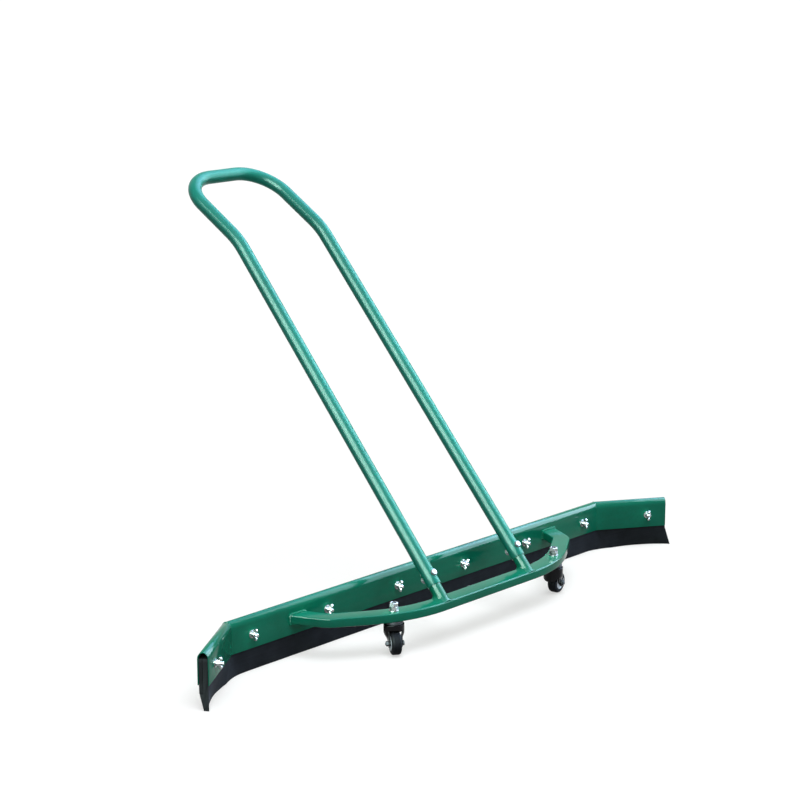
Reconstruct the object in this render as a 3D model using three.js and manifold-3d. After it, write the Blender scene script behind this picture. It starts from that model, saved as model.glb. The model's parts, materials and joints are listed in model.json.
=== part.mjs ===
// Tennis court squeegee: a rubber blade in an inverted steel channel with two angled end wings,
// a bowed outrigger tube on two swivel casters, and a bent tube handle bolted on two slanted sockets.
// Millimetres. X runs along the blade, +Y towards the person who holds the handle, +Z up.
// The origin is on the floor, under the middle of the blade's foot.

import * as THREE from 'three';
import { mergeVertices } from 'three/addons/utils/BufferGeometryUtils.js';
import Module from 'manifold-3d';

const wasm = await Module();
wasm.setup();

// Clearances
const seatGap = 0.3;
const boltClearance = 0.3;
const layerGap = 0.3;
const packClearance = 0.5;
const socketClearance = 0.5;
const cutOverrun = 5;

// Channel that grips the rubber
const cornerHalfSpan = 610;
const wingLength = 184;
const wingTurnDegrees = 33;
const channelWidth = 24;
const channelWall = 2;
const channelHeight = 70;
const channelFoot = 48.5;

// Rubber blade and its backing strip
const bladeThickness = 11;
const bladeHeight = 104;
const backingDrop = 17;
const gripBendRadius = 14.5;
const freeBendRadius = 60;
const wingSag = 6;
const tipCurl = 5;
const rubberEndInset = 1;
const rubberEndFlare = 13;

// Clamp bolts and wing nuts through the channel
const clampPitch = 220;
const clampCount = 6;
const clampRise = 31.5;
const wingClampSetback = 136;
const clampBoltDiameter = 8;
const clampHeadAcross = 13;
const clampHeadHeight = 5.3;
const clampBoltTail = 16;
const clampWasherDiameter = 18;
const clampWasherThickness = 1.6;
const wingNutBaseDiameter = 15;
const wingNutTopDiameter = 11;
const wingNutHubHeight = 9.5;
const wingNutSpan = 25;
const wingNutHeight = 12.5;
const wingNutEarThickness = 3;
const wingNutEarRadius = 4;
const wingNutRootHeight = 2;

// Bowed outrigger tube
const bowTubeWidth = 40;
const bowTubeHeight = 20;
const bowTubeWall = 2;
const bowTubeCorner = 3;
const bowUnderside = 73;
const bowReach = 176;
const bowStraightHalf = 150;
const bowShoulderRadius = 302;
const bowShoulderDegrees = 34;
const bowArmHalfSpan = 391;
const bowEndRadius = 42;
const bowEndDegrees = 66;

// Sockets and handle
const handleDiameter = 32;
const handleWall = 1.5;
const socketHalfSpan = 141;
const socketDiameter = handleDiameter - 2 * handleWall - 2 * socketClearance;
const socketWall = 2;
const socketLength = 96;
const legStart = 34.5;
const legSlopeDegrees = 48;
const legLength = 961;
const handleTopHalfSpan = 133;
const gripSlopeDegrees = 30.5;
const gripReach = 231;
const legBendRadius = 180;
const loopBendRadius = 92;

// Bolts that pin the handle to its sockets
const legBoltRise = 58.5;
const legBoltDiameter = 8;
const legHeadAcross = 13;
const legHeadHeight = 5.3;
const legNutHeight = 6.5;
const legBoltTail = 3;

// Swivel casters
const casterHalfSpan = 268;
const casterTrail = 15;
const wheelDiameter = 50;
const tyreWidth = 22;
const hubDiameter = 31;
const hubRimSetback = 1;
const hubWebThickness = 5;
const hubRimWall = 2.5;
const hubBossDiameter = 17;
const hubWidth = 21;
const tyreShoulder = 6;
const bushDiameter = 11;
const bushLength = 23.6;
const axleDiameter = 6;
const axleHeadAcross = 12;
const axleHeadHeight = 4;
const axleNutHeight = 5;
const axleTail = 2;
const forkPlate = 2.5;
const forkSideGap = 1.5;
const forkCrownDiameter = 45;
const forkHoleDiameter = 14;
const forkFootRadius = 9;
const forkNeckHalf = 16;
const forkLeanDegrees = 25;
const forkSkirt = 9;
const raceDiameter = 40;
const raceThickness = 2.2;
const raceRim = 4.6;
const raceRimWall = 2;
const ballDiameter = 4.6;
const ballCircleDiameter = 25;
const ballCount = 8;
const cageWidth = 2;
const cageThickness = 1.2;
const pinDiameter = 11;
const pinFlangeDiameter = 18;
const pinFlangeThickness = 2.2;
const stemDiameter = 10;
const stemTail = 1.6;
const stemChamfer = 1;
const stemWasherDiameter = 21;
const stemWasherThickness = 2;
const stemNutAcross = 17;
const stemNutHeight = 8;
const casterTurnDegrees = { left: 235, right: 10 };

// Facets and steps
const tubeFacets = 20;
const roundFacets = 24;
const smallFacets = 14;
const boxCornerSteps = 1;
const bowShoulderSteps = 8;
const bowEndSteps = 4;
const kneeSteps = 4;
const loopSteps = 8;
const tyreShoulderSteps = 3;
const rubberStraightSteps = 4;
const rubberBendSteps = 6;
const rubberWingSteps = 8;

const radians = THREE.MathUtils.degToRad;
const wingTurn = radians(wingTurnDegrees);
const legSlope = radians(legSlopeDegrees);
const gripSlope = radians(gripSlopeDegrees);
const channelCrown = channelFoot + channelHeight;
const clampHeight = channelFoot + clampRise;
const halfChannel = channelWidth / 2;
const halfSlot = halfChannel - channelWall;
const bowTop = bowUnderside + bowTubeHeight;

// Finishes
function finish(color, roughness, metalness) {
  return () => new THREE.MeshStandardMaterial({ color, roughness, metalness });
}

const greenPaint = finish(0x14704f, 0.25, 0.1);
const zincPlate = finish(0xc9cccb, 0.3, 0.9);
const blackRubber = finish(0x1b1c20, 0.75, 0);
const blackPaint = finish(0x141517, 0.35, 0.2);
const tyreRubber = finish(0x121214, 0.7, 0);
const hubPlastic = finish(0xe9ebea, 0.4, 0);
const darkSteel = finish(0x5c5f62, 0.4, 0.9);

// A closed geometry as a solid that can be cut or joined
function toSolid(geometry) {
  const bare = geometry.clone();
  bare.deleteAttribute('normal');
  bare.deleteAttribute('uv');
  const merged = mergeVertices(bare);
  return new wasm.Manifold(new wasm.Mesh({
    numProp: 3,
    vertProperties: new Float32Array(merged.attributes.position.array),
    triVerts: new Uint32Array(merged.index.array),
  }));
}

// A solid as a geometry again
function toGeometry(solid) {
  const mesh = solid.getMesh();
  const geometry = new THREE.BufferGeometry();
  geometry.setAttribute('position', new THREE.BufferAttribute(mesh.vertProperties, 3));
  geometry.setIndex(new THREE.BufferAttribute(mesh.triVerts, 1));
  return geometry;
}

function cut(geometry, cutters) {
  return toGeometry(cutters.reduce((solid, cutter) => solid.subtract(toSolid(cutter)), toSolid(geometry)));
}

function join(geometries) {
  const solids = geometries.map(toSolid);
  return toGeometry(solids.reduce((sum, solid) => sum.add(solid)));
}

// The enclosed volume, negative when the faces point inwards
function signedVolume(geometry) {
  const place = geometry.attributes.position;
  const order = geometry.index;
  const corner = [new THREE.Vector3(), new THREE.Vector3(), new THREE.Vector3()];
  let sum = 0;
  for (let i = 0; i < order.count; i += 3) {
    corner.forEach((point, k) => point.fromBufferAttribute(place, order.getX(i + k)));
    sum += corner[0].dot(corner[1].clone().cross(corner[2]));
  }
  return sum;
}

function facingOut(geometry) {
  if (signedVolume(geometry) > 0) {
    return geometry;
  }
  const order = geometry.index;
  for (let i = 0; i < order.count; i += 3) {
    const second = order.getX(i + 1);
    order.setX(i + 1, order.getX(i + 2));
    order.setX(i + 2, second);
  }
  return geometry;
}

// A solid of revolution about Z from [radius, height] pairs that start and end on the axis,
// or that run round a ring
function turned(profile, facets) {
  const points = profile.map(([radius, height]) => new THREE.Vector2(radius, height));
  return facingOut(new THREE.LatheGeometry(points, facets).rotateX(Math.PI / 2));
}

// A ring with a square section, from a bore to an outer radius
function ring(bore, outer, low, high, facets) {
  return turned([[bore, low], [outer, low], [outer, high], [bore, high], [bore, low]], facets);
}

// A round cutter along Z
function drill(diameter, low, high, facets = smallFacets) {
  return new THREE.CylinderGeometry(diameter / 2, diameter / 2, high - low, facets)
    .rotateX(Math.PI / 2)
    .translate(0, 0, (low + high) / 2);
}

// A hexagonal prism along Z, measured across its flats
function hexagon(across, low, high) {
  const corner = across / Math.sqrt(3);
  return new THREE.CylinderGeometry(corner, corner, high - low, 6)
    .rotateX(Math.PI / 2)
    .translate(0, 0, (low + high) / 2);
}

// A hexagon bolt along +Z: its head lies below zero and its shank above, with a chamfered end
function hexBolt(across, headHeight, diameter, length) {
  const chamfer = diameter / 8;
  return join([
    hexagon(across, -headHeight, 0),
    turned([
      [0, -headHeight / 2],
      [diameter / 2, -headHeight / 2],
      [diameter / 2, length - chamfer],
      [diameter / 2 - chamfer, length],
      [0, length],
    ], smallFacets),
  ]);
}

function hexNut(across, bore, low, high) {
  return cut(hexagon(across, low, high), [drill(bore, low - cutOverrun, high + cutOverrun)]);
}

// A route of straight runs with an arc at each inner corner. Its stations are the tangent points
// and the steps of each arc, so that a tube along it has a ring exactly where a bend begins.
class BentRoute extends THREE.Curve {
  constructor(corners, bendRadii, bendSteps) {
    super();
    this.places = [corners[0].clone()];
    this.headings = [corners[1].clone().sub(corners[0]).normalize()];
    for (let i = 1; i < corners.length - 1; i += 1) {
      this.addBend(corners[i - 1], corners[i], corners[i + 1], bendRadii[i - 1], bendSteps[i - 1]);
    }
    this.places.push(corners[corners.length - 1].clone());
    this.headings.push(this.headings[this.headings.length - 1].clone());
  }

  addBend(before, corner, after, radius, steps) {
    const incoming = corner.clone().sub(before).normalize();
    const outgoing = after.clone().sub(corner).normalize();
    const turn = incoming.angleTo(outgoing);
    const start = corner.clone().addScaledVector(incoming, -radius * Math.tan(turn / 2));
    const inward = outgoing.clone().addScaledVector(incoming, -outgoing.dot(incoming)).normalize();
    for (let step = 0; step <= steps; step += 1) {
      const angle = turn * step / steps;
      this.places.push(start.clone()
        .addScaledVector(incoming, radius * Math.sin(angle))
        .addScaledVector(inward, radius * (1 - Math.cos(angle))));
      this.headings.push(incoming.clone().multiplyScalar(Math.cos(angle))
        .addScaledVector(inward, Math.sin(angle)));
    }
  }

  get stations() {
    return this.places.length - 1;
  }

  getPoint(t, target = new THREE.Vector3()) {
    const along = t * this.stations;
    const index = Math.min(Math.floor(along + Number.EPSILON), this.stations - 1);
    return target.lerpVectors(this.places[index], this.places[index + 1], along - index);
  }

  getPointAt(u, target) {
    return this.getPoint(u, target);
  }

  getTangent(t, target = new THREE.Vector3()) {
    return target.copy(this.headings[Math.round(t * this.stations)]);
  }

  getTangentAt(u, target) {
    return this.getTangent(u, target);
  }
}

function sweptAlong(route, section, curveSegments) {
  return facingOut(mergeVertices(new THREE.ExtrudeGeometry(section, {
    steps: route.stations,
    extrudePath: route,
    curveSegments,
    bevelEnabled: false,
  }).deleteAttribute('uv').deleteAttribute('normal')));
}

function roundTubeSection(outerDiameter, wall) {
  const section = new THREE.Shape().absarc(0, 0, outerDiameter / 2, 0, Math.PI * 2);
  section.holes.push(new THREE.Path().absarc(0, 0, outerDiameter / 2 - wall, 0, Math.PI * 2, true));
  return section;
}

// A rectangle with round corners, traced anticlockwise
function roundedRectangle(path, width, height, radius) {
  const x = width / 2 - radius;
  const y = height / 2 - radius;
  return path
    .absarc(x, y, radius, 0, Math.PI / 2)
    .absarc(-x, y, radius, Math.PI / 2, Math.PI)
    .absarc(-x, -y, radius, Math.PI, Math.PI * 3 / 2)
    .absarc(x, -y, radius, Math.PI * 3 / 2, Math.PI * 2)
    .closePath();
}

function boxTubeSection(width, height, wall, corner) {
  const section = roundedRectangle(new THREE.Shape(), width, height, corner);
  section.holes.push(roundedRectangle(new THREE.Path(), width - 2 * wall, height - 2 * wall, corner - wall));
  return section;
}

const squeegee = new THREE.Group();

function addPiece(name, geometry, material, parent = squeegee) {
  const piece = new THREE.Mesh(geometry, material());
  piece.name = name;
  parent.add(piece);
  return piece;
}

// Channel: two flanges and a half-round crown, with its ends on planes that lean with the mitre

function channelSection() {
  const springing = channelCrown - halfChannel;
  const section = new THREE.Shape();
  section.moveTo(-halfSlot, channelFoot);
  section.lineTo(-halfSlot, springing);
  section.absarc(0, springing, halfSlot, Math.PI, 0, true);
  section.lineTo(halfSlot, channelFoot);
  section.lineTo(halfChannel, channelFoot);
  section.lineTo(halfChannel, springing);
  section.absarc(0, springing, halfChannel, 0, Math.PI, false);
  section.lineTo(-halfChannel, channelFoot);
  section.closePath();
  return section;
}

// A run of channel along X whose ends follow start(y) and end(y)
function channelRun(start, end) {
  const unitRun = new THREE.ExtrudeGeometry(channelSection(), {
    depth: 1,
    curveSegments: roundFacets / 4,
    bevelEnabled: false,
  });
  const geometry = mergeVertices(unitRun.deleteAttribute('uv').deleteAttribute('normal'));
  const place = geometry.attributes.position;
  for (let i = 0; i < place.count; i += 1) {
    const y = place.getX(i);
    const z = place.getY(i);
    place.setXYZ(i, THREE.MathUtils.lerp(start(y), end(y), place.getZ(i)), y, z);
  }
  return facingOut(geometry);
}

// A cutter through both flanges, along Y, at x on the clamp line
function clampHole(x) {
  return drill(clampBoltDiameter + 2 * boltClearance, -halfChannel - cutOverrun, halfChannel + cutOverrun)
    .rotateX(Math.PI / 2)
    .translate(x, 0, clampHeight);
}

const clampPlaces = Array.from({ length: clampCount }, (_, i) => (i - (clampCount - 1) / 2) * clampPitch);
const mitreSlope = Math.tan(wingTurn / 2);

function addMainChannel() {
  const halfLength = (y) => cornerHalfSpan + y * mitreSlope - seatGap / 2;
  const run = channelRun((y) => -halfLength(y), halfLength);
  addPiece('channel_main', cut(run, clampPlaces.map(clampHole)), greenPaint);
}

// The frame of an end wing: its origin is the mitre's middle, and its run leaves the centre
function wingFrame(side) {
  const frame = new THREE.Group();
  frame.position.set(side * cornerHalfSpan, 0, 0);
  frame.rotation.z = -side * wingTurn;
  squeegee.add(frame);
  return frame;
}

function addWingChannel(name, side, frame) {
  const mitre = (y) => side * (seatGap / 2 - y * mitreSlope);
  const tip = () => side * wingLength;
  const run = side > 0 ? channelRun(mitre, tip) : channelRun(tip, mitre);
  addPiece(name, cut(run, [clampHole(side * wingClampSetback)]), greenPaint, frame);
}

// Rubber: layers that follow the channel above its foot, and ease round the bend below it

// How free the rubber is at a height: 0 in the channel's grip and 1 on the floor
function freedom(z) {
  return THREE.MathUtils.clamp((channelFoot - z) / channelFoot, 0, 1);
}

// The point of a layer at station i of one half, at an offset towards +Y and a height
function rubberPoint(i, side, offset, z) {
  const free = freedom(z);
  const radius = THREE.MathUtils.lerp(gripBendRadius, freeBendRadius, free);
  const tangent = radius * Math.tan(wingTurn / 2);
  const straight = cornerHalfSpan - tangent;
  const angle = wingTurn * THREE.MathUtils.clamp((i - rubberStraightSteps) / rubberBendSteps, 0, 1);
  const inStraight = THREE.MathUtils.clamp(i / rubberStraightSteps, 0, 1);
  const inWing = THREE.MathUtils.clamp((i - rubberStraightSteps - rubberBendSteps) / rubberWingSteps, 0, 1);
  const overhang = THREE.MathUtils.lerp(-rubberEndInset, rubberEndFlare, free);
  const wingRun = inWing * (wingLength + overhang - tangent);
  const sway = free * (4 * wingSag * inWing * (1 - inWing) - tipCurl * inWing ** 4);
  const x = straight * inStraight + radius * Math.sin(angle) + wingRun * Math.cos(wingTurn);
  const y = -radius * (1 - Math.cos(angle)) - wingRun * Math.sin(wingTurn);
  return new THREE.Vector3(
    side * (x + (offset + sway) * Math.sin(angle)),
    y + (offset + sway) * Math.cos(angle),
    z,
  );
}

// A layer between two offsets, with a grid of points on each face, and strips round its edge
function rubberLayer(front, back, heights) {
  const last = rubberStraightSteps + rubberBendSteps + rubberWingSteps;
  const columns = [];
  for (let i = -last; i <= last; i += 1) {
    columns.push(i);
  }
  const rows = heights.length;
  const points = [];
  [front, back].forEach((offset) => columns.forEach((i) => heights.forEach((z) => {
    points.push(...rubberPoint(Math.abs(i), i < 0 ? -1 : 1, offset, z).toArray());
  })));
  const at = (face, column, row) => (face * columns.length + column) * rows + row;
  const order = [];
  const quad = (a, b, c, d) => order.push(a, b, c, a, c, d);
  for (let c = 0; c < columns.length - 1; c += 1) {
    for (let r = 0; r < rows - 1; r += 1) {
      quad(at(0, c, r), at(0, c + 1, r), at(0, c + 1, r + 1), at(0, c, r + 1));
      quad(at(1, c, r), at(1, c, r + 1), at(1, c + 1, r + 1), at(1, c + 1, r));
    }
    quad(at(0, c, 0), at(1, c, 0), at(1, c + 1, 0), at(0, c + 1, 0));
    quad(at(0, c, rows - 1), at(0, c + 1, rows - 1), at(1, c + 1, rows - 1), at(1, c, rows - 1));
  }
  const end = columns.length - 1;
  for (let r = 0; r < rows - 1; r += 1) {
    quad(at(0, 0, r), at(0, 0, r + 1), at(1, 0, r + 1), at(1, 0, r));
    quad(at(0, end, r), at(1, end, r), at(1, end, r + 1), at(0, end, r + 1));
  }
  const geometry = new THREE.BufferGeometry();
  geometry.setAttribute('position', new THREE.Float32BufferAttribute(points, 3));
  geometry.setIndex(order);
  return facingOut(geometry);
}

function rubberHoles() {
  const wingHoles = [-1, 1].map((side) => clampHole(side * wingClampSetback)
    .rotateZ(-side * wingTurn)
    .translate(side * cornerHalfSpan, 0, 0));
  return [...clampPlaces.map(clampHole), ...wingHoles];
}

function addRubber() {
  const bladeFront = -halfSlot + packClearance;
  const bladeBack = bladeFront + bladeThickness;
  const backingFoot = channelFoot - backingDrop;
  const heights = [bladeHeight, channelFoot, backingFoot, backingFoot / 2, 0];
  addPiece('rubber_blade', cut(rubberLayer(bladeFront, bladeBack, heights), rubberHoles()), blackRubber);
  const backing = rubberLayer(bladeBack + layerGap, halfSlot - packClearance,
    [bladeHeight, channelFoot, backingFoot]);
  addPiece('backing_strip', cut(backing, rubberHoles()), blackRubber);
}

// Wing nut along +Z, seated on zero: a tapered hub and two ears that lean outwards
function wingNut() {
  const hub = turned([
    [0, 0],
    [wingNutBaseDiameter / 2, 0],
    [wingNutBaseDiameter / 2, wingNutRootHeight],
    [wingNutTopDiameter / 2, wingNutHubHeight],
    [0, wingNutHubHeight],
  ], smallFacets);
  const earCentre = wingNutSpan / 2 - wingNutEarRadius;
  const earTop = wingNutHeight - wingNutEarRadius;
  const rootReach = wingNutTopDiameter / 4;
  const ear = new THREE.Shape();
  ear.moveTo(rootReach, wingNutRootHeight);
  ear.lineTo(wingNutBaseDiameter / 2, wingNutRootHeight);
  ear.lineTo(earCentre + wingNutEarRadius * Math.cos(Math.PI / 6), earTop - wingNutEarRadius / 2);
  ear.absarc(earCentre, earTop, wingNutEarRadius, -Math.PI / 6, Math.PI * 5 / 6, false);
  ear.lineTo(rootReach, wingNutHubHeight);
  ear.closePath();
  const plate = () => new THREE.ExtrudeGeometry(ear, {
    depth: wingNutEarThickness,
    curveSegments: roundFacets / 8,
    bevelEnabled: false,
  }).translate(0, 0, -wingNutEarThickness / 2).rotateX(Math.PI / 2);
  const bore = drill(clampBoltDiameter + 2 * boltClearance, -cutOverrun, wingNutHubHeight + cutOverrun);
  return cut(join([hub, plate(), plate().rotateZ(Math.PI)]), [bore]);
}

// A clamp set on the clamp line: the bolt's head is behind the channel, its washer and nut in front
const nutTurnShares = [0.5, 0.46, 0.39, 0.44, 0.33, 0.41, 0.51, 0.48];

function addClamp(number, x, frame) {
  const stack = clampWasherThickness + 2 * seatGap;
  const set = new THREE.Group();
  set.position.set(x, halfChannel + seatGap, clampHeight);
  set.rotation.x = Math.PI / 2;
  frame.add(set);
  const grip = channelWidth + seatGap + stack;
  const bolt = hexBolt(clampHeadAcross, clampHeadHeight, clampBoltDiameter, grip + clampBoltTail);
  addPiece(`clamp_bolt_${number}`, bolt, zincPlate, set);
  const nut = addPiece(`wing_nut_${number}`, wingNut(), zincPlate, set);
  nut.position.z = grip;
  nut.rotation.z = Math.PI * nutTurnShares[number - 1];
  const washerFoot = channelWidth + 2 * seatGap;
  const washer = ring(clampBoltDiameter / 2 + boltClearance, clampWasherDiameter / 2,
    washerFoot, washerFoot + clampWasherThickness, smallFacets);
  addPiece(`clamp_washer_${number}`, washer, zincPlate, set);
}

function addBlade() {
  addMainChannel();
  const wings = { left: wingFrame(-1), right: wingFrame(1) };
  addWingChannel('channel_wing_left', -1, wings.left);
  addWingChannel('channel_wing_right', 1, wings.right);
  addRubber();
  addClamp(1, -wingClampSetback, wings.left);
  clampPlaces.forEach((x, i) => addClamp(i + 2, x, squeegee));
  addClamp(clampCount + 2, wingClampSetback, wings.right);
}

// Bow: a flat box tube with wide shoulders, whose ends turn in and stop at the channel's front

const bowAxisHeight = bowUnderside + bowTubeHeight / 2;

// Where the bow's centre line is at x: on its straight, on the shoulder's arc or on the arm past it
function bowCentreY(x) {
  const shoulder = radians(bowShoulderDegrees);
  const run = Math.abs(x) - bowStraightHalf;
  const arcRun = THREE.MathUtils.clamp(run, 0, bowShoulderRadius * Math.sin(shoulder));
  const arcRise = bowShoulderRadius - Math.sqrt(bowShoulderRadius ** 2 - arcRun ** 2);
  return -bowReach + arcRise + Math.max(run - arcRun, 0) * Math.tan(shoulder);
}

function bowRoute() {
  const shoulder = radians(bowShoulderDegrees);
  const endTurn = radians(bowEndDegrees);
  const shoulderCorner = bowStraightHalf + bowShoulderRadius * Math.tan(shoulder / 2);
  const armY = -bowReach + (bowArmHalfSpan - shoulderCorner) * Math.tan(shoulder);
  const endRise = cutOverrun - halfChannel - armY;
  const endX = bowArmHalfSpan + endRise / Math.tan(endTurn);
  const half = [
    new THREE.Vector3(shoulderCorner, -bowReach, bowAxisHeight),
    new THREE.Vector3(bowArmHalfSpan, armY, bowAxisHeight),
    new THREE.Vector3(endX, armY + endRise, bowAxisHeight),
  ];
  const mirrored = half.map((point) => new THREE.Vector3(-point.x, point.y, point.z)).reverse();
  return new BentRoute(
    [...mirrored, ...half],
    [bowEndRadius, bowShoulderRadius, bowShoulderRadius, bowEndRadius],
    [bowEndSteps, bowShoulderSteps, bowShoulderSteps, bowEndSteps],
  );
}

function addBow() {
  const section = boxTubeSection(bowTubeHeight, bowTubeWidth, bowTubeWall, bowTubeCorner);
  const tube = sweptAlong(bowRoute(), section, boxCornerSteps);
  const behindChannel = new THREE.BoxGeometry(
    2 * cornerHalfSpan, bowReach, 2 * bowTubeHeight,
  ).translate(0, bowReach / 2 - halfChannel - seatGap, bowAxisHeight);
  const stemHoles = [-1, 1].map((side) => drill(
    stemDiameter + 2 * boltClearance, bowUnderside - cutOverrun, bowTop + cutOverrun,
  ).translate(side * casterHalfSpan, bowCentreY(casterHalfSpan), 0));
  addPiece('bow_tube', cut(tube, [behindChannel, ...stemHoles]), greenPaint);
}

// Handle: legs that draw together towards the loop, in a frame per leg for socket and bolt

const legFoot = (side) => new THREE.Vector3(side * socketHalfSpan, -bowReach, bowTop);
const legKnee = (side) => new THREE.Vector3(
  side * handleTopHalfSpan,
  -bowReach + legLength * Math.cos(legSlope),
  bowTop + legLength * Math.sin(legSlope),
);

// A frame on the bow's top, with +Z up the leg and +Y square to it, towards its lower side
function legFrame(side) {
  const up = legKnee(side).sub(legFoot(side)).normalize();
  const across = new THREE.Vector3(1, 0, 0).addScaledVector(up, -up.x).normalize();
  const frame = new THREE.Group();
  frame.position.copy(legFoot(side));
  frame.quaternion.setFromRotationMatrix(new THREE.Matrix4().makeBasis(across, up.clone().cross(across), up));
  squeegee.add(frame);
  frame.updateWorldMatrix(true, false);
  return frame;
}

function legBoltHole() {
  const reach = handleDiameter / 2 + cutOverrun;
  return drill(legBoltDiameter + 2 * boltClearance, -reach, reach)
    .rotateX(Math.PI / 2)
    .translate(0, 0, legBoltRise);
}

function addSocket(name, frame) {
  const sunk = socketDiameter;
  const boreDiameter = socketDiameter - 2 * socketWall;
  const outer = drill(socketDiameter, -sunk, socketLength, tubeFacets);
  const bore = drill(boreDiameter, -sunk - cutOverrun, socketLength + cutOverrun, tubeFacets);
  const belowBow = new THREE.BoxGeometry(bowReach, bowReach, bowReach)
    .translate(frame.position.x, frame.position.y, bowTop + seatGap - bowReach / 2)
    .applyMatrix4(frame.matrixWorld.clone().invert());
  addPiece(name, cut(outer, [bore, belowBow, legBoltHole()]), greenPaint, frame);
}

function addLegBolt(side, frame) {
  const halfTube = handleDiameter / 2;
  const set = new THREE.Group();
  set.position.set(0, -halfTube - seatGap, legBoltRise);
  set.rotation.x = -Math.PI / 2;
  frame.add(set);
  const nutFoot = handleDiameter + 2 * seatGap;
  const nutTop = nutFoot + legNutHeight;
  const bolt = hexBolt(legHeadAcross, legHeadHeight, legBoltDiameter, nutTop + legBoltTail);
  addPiece(`leg_bolt_${side}`, bolt, zincPlate, set);
  const nut = hexNut(legHeadAcross, legBoltDiameter + 2 * boltClearance, nutFoot, nutTop);
  addPiece(`leg_nut_${side}`, nut, zincPlate, set);
}

function handleRoute() {
  const legEnd = (side) => legFoot(side).lerp(legKnee(side), legStart / legLength);
  const loop = (side) => legKnee(side).add(new THREE.Vector3(
    0, gripReach * Math.cos(gripSlope), gripReach * Math.sin(gripSlope),
  ));
  return new BentRoute(
    [legEnd(-1), legKnee(-1), loop(-1), loop(1), legKnee(1), legEnd(1)],
    [legBendRadius, loopBendRadius, loopBendRadius, legBendRadius],
    [kneeSteps, loopSteps, loopSteps, kneeSteps],
  );
}

function addHandle() {
  const legs = { left: legFrame(-1), right: legFrame(1) };
  Object.entries(legs).forEach(([side, frame]) => addSocket(`socket_${side}`, frame));
  const tube = sweptAlong(handleRoute(), roundTubeSection(handleDiameter, handleWall), tubeFacets / 2);
  const holes = Object.values(legs).map((frame) => legBoltHole().applyMatrix4(frame.matrixWorld));
  addPiece('handle_tube', cut(tube, holes), greenPaint);
  Object.entries(legs).forEach(([side, frame]) => addLegBolt(side, frame));
}

// Caster: the stem and its race are fixed under the bow, the fork swivels, and the wheel turns

const wheelRadius = wheelDiameter / 2;
const forkInside = tyreWidth / 2 + forkSideGap;
const forkOutside = forkInside + forkPlate;
const raceTop = bowUnderside - seatGap;
const ballSeat = raceTop - raceThickness - seatGap - ballDiameter / 2;
const crownTop = ballSeat - ballDiameter / 2 - seatGap;
const crownUnder = crownTop - forkPlate;

function casterStem() {
  const race = raceDiameter / 2;
  const raceUnder = raceTop - raceThickness;
  const pin = pinDiameter / 2;
  const flangeTop = crownUnder - seatGap;
  const stem = stemDiameter / 2;
  const stackTop = bowTop + stemWasherThickness + 2 * stemNutHeight + 3 * seatGap;
  const stemTop = stackTop + stemTail;
  return turned([
    [0, flangeTop - pinFlangeThickness],
    [pinFlangeDiameter / 2, flangeTop - pinFlangeThickness],
    [pinFlangeDiameter / 2, flangeTop],
    [pin, flangeTop],
    [pin, raceUnder],
    [race - raceRimWall, raceUnder],
    [race - raceRimWall, raceUnder - raceRim],
    [race, raceUnder - raceRim],
    [race, raceTop],
    [stem, raceTop],
    [stem, stemTop - stemChamfer],
    [stem - stemChamfer, stemTop],
    [0, stemTop],
  ], roundFacets);
}

// The balls of the swivel with the flat cage that spaces them, as one piece
function casterBallCage() {
  const circle = ballCircleDiameter / 2;
  const cage = ring(circle - cageWidth / 2, circle + cageWidth / 2,
    ballSeat - cageThickness / 2, ballSeat + cageThickness / 2, smallFacets);
  const balls = Array.from({ length: ballCount }, (_, i) => {
    const angle = i * 2 * Math.PI / ballCount;
    return new THREE.OctahedronGeometry(ballDiameter / 2, 1)
      .translate(circle * Math.cos(angle), circle * Math.sin(angle), ballSeat);
  });
  return join([cage, ...balls]);
}

// Fork, trailing along +X: a crown plate with a skirt, and two cheeks that taper to the axle
function casterFork() {
  const crown = turned([
    [0, crownUnder],
    [forkCrownDiameter / 2 - forkPlate, crownUnder],
    [forkCrownDiameter / 2 - forkPlate, crownUnder - forkSkirt],
    [forkCrownDiameter / 2, crownUnder - forkSkirt],
    [forkCrownDiameter / 2, crownTop],
    [0, crownTop],
  ], roundFacets);
  const top = crownUnder + forkPlate / 2;
  const lean = radians(forkLeanDegrees);
  const cheek = new THREE.Shape();
  cheek.moveTo(-forkNeckHalf, top);
  cheek.lineTo(-forkNeckHalf, crownUnder - forkSkirt);
  cheek.lineTo(casterTrail - forkFootRadius * Math.cos(lean), wheelRadius - forkFootRadius * Math.sin(lean));
  cheek.absarc(casterTrail, wheelRadius, forkFootRadius, Math.PI + lean, 2 * Math.PI, false);
  cheek.lineTo(forkNeckHalf, crownUnder - forkSkirt);
  cheek.lineTo(forkNeckHalf, top);
  cheek.closePath();
  const plate = (y) => new THREE.ExtrudeGeometry(cheek, {
    depth: forkPlate,
    curveSegments: roundFacets / 4,
    bevelEnabled: false,
  }).rotateX(Math.PI / 2).translate(0, y, 0);
  const kingHole = drill(forkHoleDiameter, crownUnder - cutOverrun, crownTop + cutOverrun);
  const axleReach = forkOutside + cutOverrun;
  const axleHole = drill(axleDiameter + 2 * boltClearance, -axleReach, axleReach)
    .rotateX(Math.PI / 2)
    .translate(casterTrail, 0, wheelRadius);
  return cut(join([crown, plate(forkOutside), plate(-forkInside)]), [kingHole, axleHole]);
}

// Wheel parts, turned about Z: rims and a web round a boss, a bush and a crowned tyre

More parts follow.
